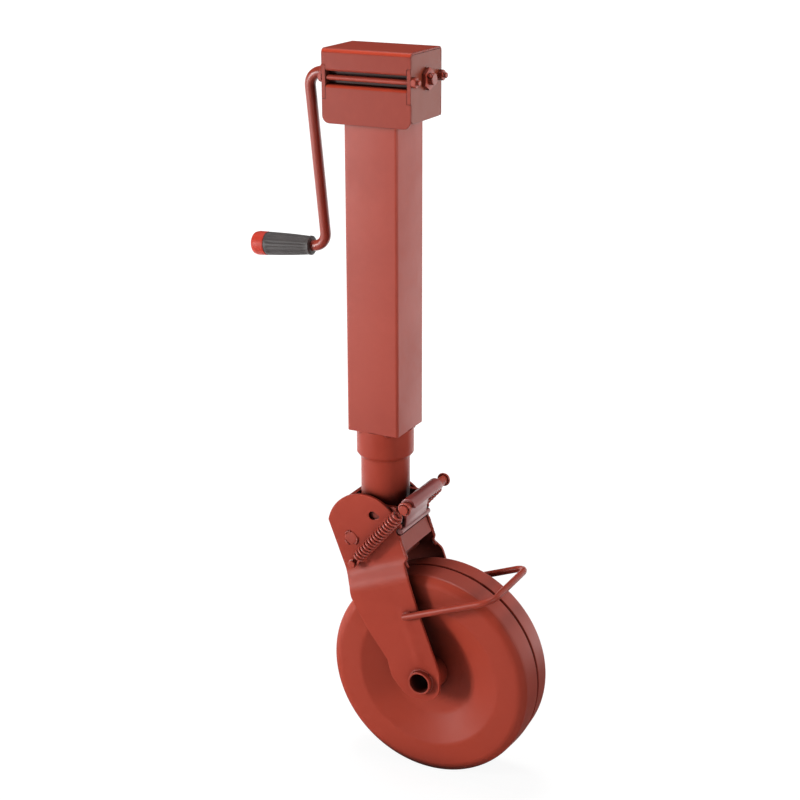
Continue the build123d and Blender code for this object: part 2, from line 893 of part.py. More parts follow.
def web_plate():
    top = Vector(web_top_x, web_top_z)
    low = Vector(web_low_x, web_low_z)
    run = (low - top).normalized()
    inward = Vector(run.Y, -run.X) * web_sheet
    corners = [top, low, low + inward, top + inward]
    outline = Polyline(*[(corner.X, corner.Y) for corner in corners], close=True)
    return at_pivot(slab_xz(outline, -fork_inner, fork_inner))


def fork_stop_bar():
    z = knuckle_bottom - side_gap - stop_bar / 2
    return at_pivot(rod_y_axis(stop_bar, -fork_inner, fork_inner, stop_bar_x, z))


def fork_pin():
    return at_pivot(rod_y_axis(pivot_pin, -fork_outer, fork_outer))


def spring_studs():
    stud = rod_y_axis(stud_neck, -fork_outer - stud_reach, -fork_outer, stud_x, stud_z)
    stud += rod_y_axis(stud_diameter, -fork_outer - stud_reach - stud_head, -fork_outer - stud_reach, stud_x, stud_z)
    return at_pivot(pair(stud))


# The latch between the fork plates

latch_offset = (rod_diameter + latch_sheet) / 2


def latch_lean():
    """The lean of the latch plate, which passes behind its rod."""
    across = rod_x - notch_x
    rise = rod_z - notch_z
    return math.atan2(rise, across) + math.asin(latch_offset / math.hypot(across, rise))


def latch_reach():
    return math.sqrt((rod_x - notch_x) ** 2 + (rod_z - notch_z) ** 2 - latch_offset ** 2)


def rolled_eye():
    """The half roll of the plate's top edge, over the rod and down its outer side."""
    lean = latch_lean()
    end = math.radians(eye_end_angle)
    start = lean + math.pi / 2
    middle = (start + end) / 2
    outer = rod_diameter / 2 + latch_sheet
    inner = rod_diameter / 2

    def spot(radius, angle):
        return (rod_x + radius * math.cos(angle), rod_z + radius * math.sin(angle))

    over = ThreePointArc(spot(outer, start), spot(outer, middle), spot(outer, end))
    under = ThreePointArc(spot(inner, end), spot(inner, middle), spot(inner, start))
    sides = Line(spot(outer, end), spot(inner, end)) + Line(spot(inner, start), spot(outer, start))
    return slab_xz(Curve() + over + under + sides, -eye_near, latch_far)


def latch_plate():
    sheet = Polyline(
        (0, -latch_foot_half),
        (latch_foot_height, -latch_foot_half),
        (latch_reach(), -latch_near),
        (latch_reach(), latch_far),
        (latch_foot_height, latch_foot_half),
        (0, latch_foot_half),
        close=True,
    )
    plate = Pos(0, 0, -latch_sheet / 2) * extrude(make_face(sheet), amount=latch_sheet)
    plate = Pos(notch_x, 0, notch_z) * Rot(0, -math.degrees(latch_lean()), 0) * plate
    tongue = rod_y_axis(2 * (notch_radius - side_gap), -tongue_reach, tongue_reach, notch_x, notch_z)
    return at_pivot(plate + tongue + rolled_eye())


def latch_rod():
    rod = rod_y_axis(rod_diameter, -rod_half, rod_half, rod_x, rod_z)
    return at_pivot(chamfer(rod.edges().filter_by(GeomType.CIRCLE), rod_bevel))


# The return springs, from a stud on the fork plate to the end of the latch rod

def return_spring():
    radius = (spring_outside - spring_wire) / 2
    stud_y = fork_outer + spring_outside / 2 + spring_stand_off
    top_y = rod_half - spring_rod_step
    start = Vector(stud_x, -stud_y, stud_z)
    finish = Vector(rod_x, -top_y, rod_z)
    along = (finish - start).normalized()
    low = start + along * spring_lead
    high = finish - along * spring_lead
    length = (high - low).length
    frame = Plane(origin=low, z_dir=along, x_dir=Vector(0, 1, 0).cross(along))
    coil = Helix(length / spring_turns, length, radius)
    section = Plane(origin=coil @ 0, z_dir=coil % 0) * Circle(spring_wire / 2)
    spring = frame.location * sweep(section, path=coil, is_frenet=True)
    sheet = Plane(origin=finish, z_dir=(0, 1, 0))
    ring_radius = (rod_diameter + spring_wire) / 2
    spring += sheet.location * Torus(ring_radius, spring_wire / 2)
    eye_radius = (stud_neck + spring_wire) / 2
    seat = Plane(origin=start, z_dir=(0, 1, 0))
    spring += seat.location * Torus(eye_radius, spring_wire / 2)
    spring += hook(start + along * eye_radius, frame.from_local_coords(coil @ 0))
    spring += hook(finish - along * ring_radius, frame.from_local_coords(coil @ 1))
    return at_pivot(spring)


def hook(start, finish):
    """A short straight piece of spring wire between two points."""
    run = finish - start
    wire = Plane(origin=start, z_dir=run) * Circle(spring_wire / 2)
    tip = Pos(start.X, start.Y, start.Z) * Sphere(spring_wire / 2)
    end = Pos(finish.X, finish.Y, finish.Z) * Sphere(spring_wire / 2)
    return extrude(wire, amount=run.length) + tip + end


def return_spring_near():
    return return_spring()


def return_spring_far():
    return mirror_y(return_spring())


# The foot bar on the legs

def foot_bar_piece():
    y = fork_outer + leg_spread + foot_bar / 2
    start = Vector(foot_start_x, -y, foot_start_z)
    line = FilletPolyline(
        start,
        Vector(foot_end_x, -y, foot_end_z),
        Vector(foot_end_x, y, foot_end_z),
        Vector(foot_start_x, y, foot_start_z),
        radius=[foot_bend, foot_bend],
    )
    run = Vector(foot_end_x - foot_start_x, 0, foot_end_z - foot_start_z)
    section = Plane(origin=start, z_dir=run) * Circle(foot_bar / 2)
    return at_pivot(sweep(section, path=line))


# The wheel and its axle

def on_axle(shape):
    """Turns a piece that is drawn along +Z to point along -Y, and puts it on the axle."""
    return Pos(pivot_x + axle_x, 0, pivot_z + axle_z) * Rot(90, 0, 0) * shape


def wheel_section(inset):
    """The pressed half's outer or inner face, as a line from the hub to the middle of the tread."""
    hub = (axle_diameter + 2 * (running_fit + hub_bush_wall + hub_wall)) / 2
    face = wheel_half - inset
    tread = wheel_radius - tread_crown - inset
    return [
        (hub, face - hub_depth),
        (hub_edge, face - hub_depth),
        (dish_edge, face - dish_depth),
        (annulus_inner, face),
        (tread - shoulder_radius + inset, face),
        (tread, face - shoulder_radius + inset),
    ]


def wheel_half_piece():
    outer = wheel_section(0)
    inner = wheel_section(wheel_sheet)
    crown = [(wheel_radius, seam_depth), (wheel_radius - seam_depth, 0)]
    inside = [(wheel_radius - wheel_sheet - seam_depth, 0)]
    line = outer + crown + inside + list(reversed(inner))
    radii = [0, 14, 20, 4, 8, 8, 2, 0, 0, 5, 5, 4, 20, 10, 0]
    outline = FilletPolyline(*line, close=True, radius=radii)
    return on_axle(revolve(Plane.XZ * make_face(outline), axis=Axis.Z))


def wheel_half_near():
    return wheel_half_piece()


def wheel_half_far():
    return mirror_y(wheel_half_piece())


hub_bush_outer = axle_diameter + 2 * (running_fit + hub_bush_wall)


def wheel_hub():
    tube = Cylinder(hub_bush_outer / 2 + hub_wall, 2 * hub_half)
    return on_axle(tube - Cylinder(hub_bush_outer / 2, 3 * hub_half))


def hub_bushes():
    ring = Cylinder(hub_bush_outer / 2, hub_bush_length)
    ring -= Cylinder(axle_diameter / 2 + running_fit, 2 * hub_bush_length)
    offset = hub_half - hub_bush_length / 2
    return on_axle(Compound(children=[Pos(0, 0, offset) * ring, Pos(0, 0, -offset) * ring]))


def axle_tube():
    return on_axle(Cylinder(axle_diameter / 2, 2 * axle_half) - Cylinder(axle_bore / 2, 3 * axle_half))


def axle_spacers():
    leg_inner = fork_inner + leg_spread
    length = leg_inner - hub_half - side_gap
    ring = Cylinder(spacer_diameter / 2, length) - Cylinder(axle_diameter / 2, 2 * length)
    offset = leg_inner - length / 2
    return on_axle(Compound(children=[Pos(0, 0, offset) * ring, Pos(0, 0, -offset) * ring]))


pieces = {
    "outer_tube": outer_tube,
    "guide_bush": guide_bush,
    "head_base_plate": head_base_plate,
    "side_plate_left": side_plate_left,
    "side_plate_right": side_plate_right,
    "head_cover": head_cover,
    "tie_bolts": tie_bolts,
    "tie_nuts": tie_nuts,
    "shaft_sleeve": shaft_sleeve,
    "shaft_bush": shaft_bush,
    "spindle_bush": spindle_bush,
    "thrust_race_upper": thrust_race_upper,
    "thrust_race_lower": thrust_race_lower,
    "thrust_balls": thrust_balls,
    "ball_cage": ball_cage,
    "spindle": spindle,
    "spindle_stop": spindle_stop,
    "spindle_stop_pin": spindle_stop_pin,
    "crown_gear": crown_gear,
    "crown_gear_pin": crown_gear_pin,
    "crank_rod": crank_rod,
    "crank_pinion": crank_pinion,
    "pinion_pin": pinion_pin,
    "end_pin": end_pin,
    "grip_washer": grip_washer,
    "grip_sleeve": grip_sleeve,
    "grip_cap": grip_cap,
    "lifting_nut": lifting_nut,
    "nut_guide": nut_guide,
    "nut_retainer": nut_retainer,
    "swivel_washer": swivel_washer,
    "stem_head": stem_head,
    "stem_tube": stem_tube,
    "knuckle_cheek_near": knuckle_cheek_near,
    "knuckle_cheek_far": knuckle_cheek_far,
    "knuckle_wall": knuckle_wall,
    "knuckle_floor": knuckle_floor,
    "pivot_bush": pivot_bush,
    "fork_plate_near": fork_plate_near,
    "fork_plate_far": fork_plate_far,
    "web_plate": web_plate,
    "fork_stop_bar": fork_stop_bar,
    "fork_pin": fork_pin,
    "spring_studs": spring_studs,
    "return_spring_near": return_spring_near,
    "return_spring_far": return_spring_far,
    "foot_bar": foot_bar_piece,
    "latch_plate": latch_plate,
    "latch_rod": latch_rod,
    "wheel_half_near": wheel_half_near,
    "wheel_half_far": wheel_half_far,
    "wheel_hub": wheel_hub,
    "hub_bushes": hub_bushes,
    "axle_tube": axle_tube,
    "axle_spacers": axle_spacers,
}


def main():
    os.makedirs("parts", exist_ok=True)
    for name, make in pieces.items():
        export_step(make(), os.path.join("parts", name + ".step"))


main()
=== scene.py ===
import json
import math
import random

import bmesh
import bpy
from mathutils import Matrix, Vector


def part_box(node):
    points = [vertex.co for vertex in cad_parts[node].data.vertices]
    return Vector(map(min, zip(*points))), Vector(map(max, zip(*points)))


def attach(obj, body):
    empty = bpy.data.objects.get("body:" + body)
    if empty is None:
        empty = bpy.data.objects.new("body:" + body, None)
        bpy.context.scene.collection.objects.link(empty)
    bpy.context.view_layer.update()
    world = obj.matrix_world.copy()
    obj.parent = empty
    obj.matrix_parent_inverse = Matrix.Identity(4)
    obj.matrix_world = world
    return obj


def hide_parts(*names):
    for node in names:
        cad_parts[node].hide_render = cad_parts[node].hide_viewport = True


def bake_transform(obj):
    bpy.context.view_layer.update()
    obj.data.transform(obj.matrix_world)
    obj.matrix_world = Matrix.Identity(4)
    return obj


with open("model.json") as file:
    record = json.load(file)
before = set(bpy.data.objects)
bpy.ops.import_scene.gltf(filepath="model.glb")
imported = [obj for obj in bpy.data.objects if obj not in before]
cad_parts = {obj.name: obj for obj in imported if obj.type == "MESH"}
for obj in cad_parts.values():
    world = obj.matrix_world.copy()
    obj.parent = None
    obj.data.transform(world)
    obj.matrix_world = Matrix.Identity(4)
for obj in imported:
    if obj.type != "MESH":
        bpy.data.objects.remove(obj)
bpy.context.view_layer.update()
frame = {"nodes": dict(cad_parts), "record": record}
nodes = frame["nodes"]

# Everything below is written in millimetres of the real object and turned to metres here.
MM = 0.001


# Camera, at the photograph's viewing angle

PICTURE_WIDTH = 800
FOCAL_PIXELS = 1687.7
SENSOR_MM = 36.0
CAMERA_PLACE = Vector((1069.6, -2066.2, 831.9)) * MM
CAMERA_AZIMUTH = 26.84
CAMERA_PITCH = 18.82
CAMERA_ROLL = -0.13


def make_camera():
    data = bpy.data.cameras.new("photo_camera")
    data.sensor_width = SENSOR_MM
    data.lens = SENSOR_MM * FOCAL_PIXELS / PICTURE_WIDTH
    data.clip_start = 0.05
    data.clip_end = 60
    camera = bpy.data.objects.new("photo_camera", data)
    azimuth = math.radians(CAMERA_AZIMUTH)
    pitch = math.radians(CAMERA_PITCH)
    level = math.cos(pitch)
    forward = Vector((-math.sin(azimuth) * level, math.cos(azimuth) * level, -math.sin(pitch)))
    turn = forward.to_track_quat("-Z", "Y").to_matrix().to_4x4()
    roll = Matrix.Rotation(math.radians(CAMERA_ROLL), 4, "Z")
    camera.matrix_world = Matrix.Translation(CAMERA_PLACE) @ turn @ roll
    bpy.context.scene.collection.objects.link(camera)
    bpy.context.scene.camera = camera


# Shader maths, written as Python expressions

class Value:
    """A socket of a shader tree that takes part in expressions."""

    def __init__(self, shade, socket):
        self.shade = shade
        self.socket = socket

    def __add__(self, other):
        return self.shade.maths("ADD", self, other)

    __radd__ = __add__

    def __sub__(self, other):
        return self.shade.maths("SUBTRACT", self, other)

    def __rsub__(self, other):
        return self.shade.maths("SUBTRACT", other, self)

    def __mul__(self, other):
        return self.shade.maths("MULTIPLY", self, other)

    __rmul__ = __mul__

    def between(self, low, high):
        """0 below low, 1 above high, and smooth between them."""
        shade = self.shade
        settings = {"interpolation_type": "SMOOTHSTEP"}
        return shade.node("ShaderNodeMapRange", settings, {0: self, 1: low, 2: high, 3: 0.0, 4: 1.0})


class Shade:
    """The node tree of a material or of the world."""

    def __init__(self, owner):
        owner.use_nodes = True
        self.owner = owner
        self.tree = owner.node_tree
        self.tree.nodes.clear()

    def node(self, kind, settings=None, inputs=None, out=0):
        made = self.tree.nodes.new(kind)
        for key, value in (settings or {}).items():
            setattr(made, key, value)
        for key, value in (inputs or {}).items():
            self.feed(made.inputs[key], value)
        return Value(self, made.outputs[out])

    def feed(self, socket, value):
        if isinstance(value, Value):
            self.tree.links.new(value.socket, socket)
        else:
            socket.default_value = value

    def maths(self, operation, a, b):
        return self.node("ShaderNodeMath", {"operation": operation}, {0: a, 1: b})

    def size_of(self, value):
        """A number without its sign."""
        return self.maths("ABSOLUTE", value, 0.0)

    def axes(self, vector):
        """The X, Y and Z of a vector."""
        parts = self.node("ShaderNodeSeparateXYZ", None, {0: vector}).socket.node
        return [Value(self, socket) for socket in parts.outputs]

    def mix(self, factor, a, b):
        """A colour between two colours."""
        settings = {"data_type": "RGBA", "clamp_factor": True}
        return self.node("ShaderNodeMix", settings, {0: factor, 6: a, 7: b}, out=2)

    def place(self):
        return self.node("ShaderNodeTexCoord", out="Object")

    def noise(self, scale, detail=3.0, rough=0.55, stretch=(1.0, 1.0, 1.0)):
        """Smooth noise in the piece's own space. Scale is in waves per metre."""
        spread = self.node("ShaderNodeVectorMath", {"operation": "MULTIPLY"}, {0: self.place(), 1: stretch})
        inputs = {"Vector": spread, "Scale": scale, "Detail": detail, "Roughness": rough}
        return self.node("ShaderNodeTexNoise", None, inputs)

    def bump(self, height, strength, distance, base=None):
        inputs = {"Strength": strength, "Distance": distance, "Height": height}
        if base is not None:
            inputs["Normal"] = base
        return self.node("ShaderNodeBump", None, inputs)

    def surface(self, constants, varying):
        shader = self.node("ShaderNodeBsdfPrincipled", None, {**constants, **varying})
        self.output(shader)
        return self.owner

    def output(self, shader, kind="ShaderNodeOutputMaterial"):
        out = self.tree.nodes.new(kind)
        self.tree.links.new(shader.socket, out.inputs["Surface"])


def new_material(name):
    return Shade(bpy.data.materials.new(name))


# Finishes. Lengths in a shader are in metres.

# Painted shade: the dark red towards which sheltered corners, the cover's grooves and the sheets' cut edges
# are darkened.
CORNER_SHADE = (0.032, 0.006, 0.004, 1)
# Painted highlight: the bright red towards which the cover's bends are lightened.
BEND_HIGHLIGHT_RED = (0.60, 0.062, 0.026, 1)
# Where the painted shade in the cover's groove lies, in metres.
GROOVE_SHADE_LOW = 0.4955
GROOVE_SHADE_HIGH = 0.5155
GROOVE_FADE = 0.003
GROOVE_DEEP = 0.0385
GROOVE_SHALLOW = 0.0465
EDGE_REACH = 0.0021


def groove_shade(shade):
    """1 deep in the cover's pressed grooves, where painted shade darkens the paint, and 0 outside them."""
    _x, y, height = shade.axes(shade.place())
    above_low = height.between(GROOVE_SHADE_LOW, GROOVE_SHADE_LOW + GROOVE_FADE)
    above_high = height.between(GROOVE_SHADE_HIGH, GROOVE_SHADE_HIGH + GROOVE_FADE)
    return (1.0 - shade.size_of(y).between(GROOVE_DEEP, GROOVE_SHALLOW)) * (above_low - above_high)


def cut_edge_shade(shade):
    """1 along the sharp cut edges of a sheet, which a thin line of painted shade darkens, and 0 elsewhere."""
    rounded = shade.node("ShaderNodeBevel", {"samples": 6}, {"Radius": EDGE_REACH})
    flat = shade.node("ShaderNodeNewGeometry", out="True Normal")
    both = {0: rounded, 1: flat}
    same = shade.node("ShaderNodeVectorMath", {"operation": "DOT_PRODUCT"}, both, out="Value")
    return 1.0 - same.between(0.84, 0.99)


def head_shade(shade):
    """The cover's painted shade in the grooves and along the cut edges together."""
    return shade.maths("MAXIMUM", groove_shade(shade), cut_edge_shade(shade) * 0.95)


def bend_highlight_mask(shade):
    """1 on the rounded bends between an upright face and the top, where a painted highlight brightens the
    paint.
    """
    _x, y, upward = shade.axes(shade.node("ShaderNodeNewGeometry", out="Normal"))
    across = shade.size_of(y)
    return (across * across * upward).between(0.10, 0.36)


def satin_paint(name, colour, deep, bright, rough=0.36, gloss=0.32, round_edges=0.0, shade_marks=None, bend_highlight=0.0,
                corner_shade_depth=0.92, reach=0.06):
    """Sprayed oxide-red paint: soft colour clouds, a fine orange peel and painted shade in sheltered corners.

    The shade marks give the places where painted shade darkens cut edges and grooves, the bend highlight
    paints the sheet's bends brighter, and the corner shade depth and the reach say how dark and how wide the
    painted shade in sheltered corners is.
    """
    shade = new_material(name)
    clouds = shade.noise(9.0, 4.0).between(0.36, 0.68)
    fine = shade.noise(70.0, 5.0, 0.6).between(0.42, 0.75)
    specks = shade.noise(900.0, 2.0, 0.5).between(0.62, 0.78)
    tone = shade.mix(clouds * 0.55, (*colour, 1), (*deep, 1))
    tone = shade.mix(fine * 0.22, tone, (*bright, 1))
    tone = shade.mix(specks * 0.10, tone, (*deep, 1))
    # Painted highlight on the bends that face up and out.
    if bend_highlight:
        tone = shade.mix(bend_highlight_mask(shade) * bend_highlight, tone, BEND_HIGHLIGHT_RED)
    # Painted shade: ambient occlusion darkens the colour towards the corner shade in sheltered corners.
    shelter = shade.node("ShaderNodeAmbientOcclusion", {"samples": 8}, {"Distance": reach}, out=1)
    tone = shade.mix((1.0 - shelter.between(0.2, 0.95)) * corner_shade_depth, tone, CORNER_SHADE)
    # Painted shade along cut edges and in grooves, where the shade marks say.
    if shade_marks:
        tone = shade.mix(shade_marks(shade) * 0.96, tone, CORNER_SHADE)
    roughness = rough + clouds * 0.07 + fine * 0.05
    peel = shade.noise(420.0, 2.0, 0.5)
    sag = shade.noise(60.0, 2.0, 0.5)
    base = None
    if round_edges:
        base = shade.node("ShaderNodeBevel", {"samples": 4}, {"Radius": round_edges})
    normal = shade.bump(sag, 0.25, 0.0006, base)
    normal = shade.bump(peel, 0.22, 0.00012, normal)
    varying = {"Base Color": tone, "Roughness": roughness, "Normal": normal}
    return shade.surface({"IOR": 1.5, "Specular IOR Level": gloss}, varying)


def moulded_plastic(name, colour, dusty, rough, grain, gloss=0.5):
    """Moulded plastic with a fine grain and a little dust in its colour."""
    shade = new_material(name)
    clouds = shade.noise(55.0, 4.0).between(0.35, 0.7)
    scuffs = shade.noise(160.0, 5.0, 0.65, (1.0, 6.0, 6.0)).between(0.58, 0.8)
    tone = shade.mix(clouds * 0.4, (*colour, 1), (*dusty, 1))
    tone = shade.mix(scuffs * 0.35, tone, (*dusty, 1))
    normal = shade.bump(shade.noise(2600.0, 2.0), grain, 0.00008)
    varying = {"Base Color": tone, "Roughness": rough + scuffs * 0.1, "Normal": normal}
    return shade.surface({"IOR": 1.47, "Specular IOR Level": gloss}, varying)


def turned_metal(name, colour, rough, stretch):
    """Bare metal with fine turning marks."""
    shade = new_material(name)
    marks = shade.noise(900.0, 3.0, 0.6, stretch)
    stain = shade.noise(35.0, 4.0).between(0.4, 0.75)
    darker = tuple(channel * 0.6 for channel in colour)
    tone = shade.mix(stain * 0.5, (*colour, 1), (*darker, 1))
    normal = shade.bump(marks, 0.3, 0.00004)
    varying = {"Base Color": tone, "Roughness": rough + stain * 0.12, "Normal": normal}
    return shade.surface({"Metallic": 1.0}, varying)


RED = (0.400, 0.053, 0.030)
RED_DEEP = (0.335, 0.040, 0.022)
RED_BRIGHT = (0.450, 0.066, 0.040)
HEAD_RED = (0.325, 0.040, 0.021)
WHEEL_RED = (0.425, 0.054, 0.029)

frame_paint = satin_paint("frame_paint", RED, RED_DEEP, RED_BRIGHT)
head_paint = satin_paint(
    "head_paint", HEAD_RED, (0.30, 0.036, 0.020), (0.40, 0.056, 0.032), gloss=0.2, shade_marks=head_shade, bend_highlight=0.8)
plate_paint = satin_paint(
    "plate_paint", (0.262, 0.046, 0.022), (0.22, 0.037, 0.018), (0.30, 0.058, 0.030), 0.34, 0.25,
    shade_marks=cut_edge_shade)
fork_paint = satin_paint("fork_paint", (0.415, 0.055, 0.032), RED_DEEP, RED_BRIGHT, gloss=0.13)
# Painted shade: a darker copy of the red for the fork plates' inner faces, where shade falls between the
# plates.
inner_shade_paint = satin_paint(
    "inner_shade_paint", (0.15, 0.024, 0.016), (0.11, 0.018, 0.013), (0.20, 0.034, 0.024), 0.45, 0.1)
stem_paint = satin_paint("stem_paint", RED, RED_DEEP, RED_BRIGHT, gloss=0.15)
latch_paint = satin_paint(
    "latch_paint", (0.35, 0.058, 0.050), (0.27, 0.042, 0.036), (0.36, 0.065, 0.056), 0.32, 1.0)
crank_paint = satin_paint("crank_paint", (0.32, 0.043, 0.024), RED_DEEP, RED, 0.30, 0.5)
cad_paint = satin_paint("cad_paint", RED, RED_DEEP, RED_BRIGHT, round_edges=0.0008)
wheel_paint = satin_paint("wheel_paint", WHEEL_RED, RED, RED_BRIGHT, 0.40, 0.18)
tread_paint = satin_paint("tread_paint", (0.445, 0.062, 0.036), RED, RED_BRIGHT, 0.42, 0.5)
weld_paint = satin_paint("weld_paint", RED, RED_DEEP, RED_BRIGHT, 0.28, 0.5, corner_shade_depth=0.45)
spring_paint = satin_paint(
    "spring_paint", (0.46, 0.066, 0.040), RED_DEEP, (0.54, 0.09, 0.06), 0.30, 0.6, corner_shade_depth=1.0, reach=0.011)
grip_plastic = moulded_plastic("grip_plastic", (0.056, 0.048, 0.047), (0.082, 0.070, 0.068), 0.55, 0.2)
cap_plastic = moulded_plastic("cap_plastic", (0.56, 0.046, 0.026), (0.52, 0.050, 0.03), 0.42, 0.03, 0.25)
bare_steel = turned_metal("bare_steel", (0.50, 0.50, 0.51), 0.32, (1.0, 1.0, 8.0))
gear_steel = turned_metal("gear_steel", (0.36, 0.36, 0.37), 0.38, (1.0, 1.0, 4.0))
bearing_steel = turned_metal("bearing_steel", (0.66, 0.66, 0.68), 0.16, (1.0, 1.0, 8.0))
bronze = turned_metal("bronze", (0.56, 0.36, 0.16), 0.30, (1.0, 1.0, 8.0))

SLOT_MATERIALS = {
    "red_paint": cad_paint,
    "wheel_red": wheel_paint,
    "spring_red": spring_paint,
    "grip_grey": grip_plastic,
    "cap_red": cap_plastic,
    "bare_steel": bare_steel,
    "gear_steel": gear_steel,
    "bearing_steel": bearing_steel,
    "bronze": bronze,
}


def dress_cad_nodes():
    """Every CAD node gets the finish of its own material slot."""
    for row in frame["record"]["subparts"]:
        data = nodes[row["node"]].data
        data.materials.clear()
        data.materials.append(SLOT_MATERIALS[row["material_slot"]])


# Shapes

def soften(points, radii, closed=False, step=9.0):
    """A line of points with its corners rounded to the given radii, in any number of dimensions."""
    made = []
    count = len(points)
    for index, point in enumerate(points):
        here = Vector(point)
        radius = radii[index] if isinstance(radii, (list, tuple)) else radii
        if radius <= 0 or (not closed and index in (0, count - 1)):
            made.append(here)
            continue
        before = Vector(points[index - 1]) - here
        after = Vector(points[(index + 1) % count]) - here
        opening = before.angle(after)
        if abs(math.pi - opening) < 1e-4:
            made.append(here)
            continue
        reach = min(radius / math.tan(opening / 2), before.length * 0.499, after.length * 0.499)
        radius = reach * math.tan(opening / 2)
        start = here + before.normalized() * reach
        end = here + after.normalized() * reach
        inward = (before.normalized() + after.normalized()).normalized()
        middle = here + inward * (radius / math.sin(opening / 2))
        sweep_angle = math.pi - opening
        steps = max(2, int(math.degrees(sweep_angle) / step))
        spoke = start - middle
        other = end - middle
        for part in range(steps + 1):
            share = part / steps
            weight_a = math.sin((1 - share) * sweep_angle) / math.sin(sweep_angle)
            weight_b = math.sin(share * sweep_angle) / math.sin(sweep_angle)
            made.append(middle + spoke * weight_a + other * weight_b)
    return made


def new_piece(name, verts, faces):
    mesh = bpy.data.meshes.new(name)
    mesh.from_pydata([tuple(v) for v in verts], [], faces)
    mesh.validate()
    piece = bpy.data.objects.new(name, mesh)
    bpy.context.scene.collection.objects.link(piece)
    return piece


def tidy(piece, sharp=38.0):
    """Joins doubled points, points every face outwards and shades the piece smooth up to an angle."""
    bm = bmesh.new()
    bm.from_mesh(piece.data)
    bmesh.ops.remove_doubles(bm, verts=bm.verts, dist=1e-7)
    bmesh.ops.recalc_face_normals(bm, faces=bm.faces)
    limit = math.radians(sharp)
    for face in bm.faces:
        face.smooth = True
    for edge in bm.edges:
        edge.smooth = len(edge.link_faces) != 2 or edge.calc_face_angle(0) < limit
    bm.to_mesh(piece.data)
    bm.free()
    return piece


def soft_edges(piece, width, segments=2, angle=38.0):
    """Rounds the piece's sharp edges by a width in millimetres."""
    bevel = piece.modifiers.new("edges", "BEVEL")
    bevel.width = width * MM
    bevel.segments = segments
    bevel.limit_method = "ANGLE"
    bevel.angle_limit = math.radians(angle)
    bevel.harden_normals = True


def bake_modifiers(piece):
    graph = bpy.context.evaluated_depsgraph_get()
    made = bpy.data.meshes.new_from_object(piece.evaluated_get(graph), depsgraph=graph)
    piece.modifiers.clear()
    piece.data = made


def carve(piece, cutter):
    """Cuts the piece with another closed shape, which is then gone."""
    change = piece.modifiers.new("carve", "BOOLEAN")
    change.operation = "DIFFERENCE"
    change.solver = "EXACT"
    change.object = cutter
    bake_modifiers(piece)
    bpy.data.objects.remove(cutter)


def settle(piece, material, body, slot, *stands_for):
    """Gives a finished piece its material and its body, and hides the CAD nodes that it stands for. The slot
    is not used.
    """
    piece.data.materials.clear()
    piece.data.materials.append(material)
    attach(piece, body)
    if stands_for:
        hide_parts(*stands_for)


def second_finish(piece, material, takes_it):
    """Gives the faces for which takes_it is true another material."""
    piece.data.materials.append(material)
    for facet in piece.data.polygons:
        facet.material_index = 1 if takes_it(facet) else 0


def lathe(name, outline, centre, axis, segments=96, closed=True):
    """A turned piece. Its outline is (radius, distance along the axis), both in millimetres."""
    axis = Vector(axis).normalized()
    side = axis.orthogonal().normalized()
    up = axis.cross(side)
    centre = Vector(centre)
    verts = []
    for turn in range(segments):
        angle = 2 * math.pi * turn / segments
        spoke = side * math.cos(angle) + up * math.sin(angle)
        verts += [(centre + spoke * point[0] + axis * point[1]) * MM for point in outline]
    count = len(outline)
    faces = []
    for turn in range(segments):
        this = turn * count
        following = (turn + 1) % segments * count
        for index in range(count if closed else count - 1):
            nxt = (index + 1) % count
            faces.append((this + index, this + nxt, following + nxt, following + index))
    return tidy(new_piece(name, verts, faces))


def prism(name, outline, place):
    """A solid between two copies of a flat outline. place turns (u, v, side) into a point. side is 0 or 1."""
    count = len(outline)
    verts = [Vector(place(u, v, side)) * MM for side in (0, 1) for u, v in outline]
    faces = [tuple(range(count)), tuple(reversed(range(count, 2 * count)))]
    faces += [(i, (i + 1) % count, count + (i + 1) % count, count + i) for i in range(count)]
    return tidy(new_piece(name, verts, faces))


def rod(name, points, radius, sides=32, rounding=0.0):
    """A round bar along a line of points in millimetres. radius is a number or a function of the index."""
    points = [Vector(p) for p in points]
    last = len(points) - 1
    tangents = []
    for index in range(last + 1):
        before = points[max(index - 1, 0)]
        after = points[min(index + 1, last)]
        tangents.append((after - before).normalized())
    across = tangents[0].orthogonal().normalized()
    verts = []
    for index, (point, tangent) in enumerate(zip(points, tangents)):
        across = (across - tangent * across.dot(tangent)).normalized()
        up = tangent.cross(across)
        size = radius(index) if callable(radius) else radius
        for turn in range(sides):
            angle = 2 * math.pi * turn / sides
            verts.append((point + (across * math.cos(angle) + up * math.sin(angle)) * size) * MM)
    faces = []
    for index in range(last):
        a = index * sides
        b = a + sides
        for turn in range(sides):
            nxt = (turn + 1) % sides
            faces.append((a + turn, a + nxt, b + nxt, b + turn))
    faces.append(tuple(reversed(range(sides))))
    faces.append(tuple(range(last * sides, (last + 1) * sides)))
    piece = tidy(new_piece(name, verts, faces))
    if rounding:
        soft_edges(piece, rounding)
    return piece


WELD_RIPPLE = 2.2


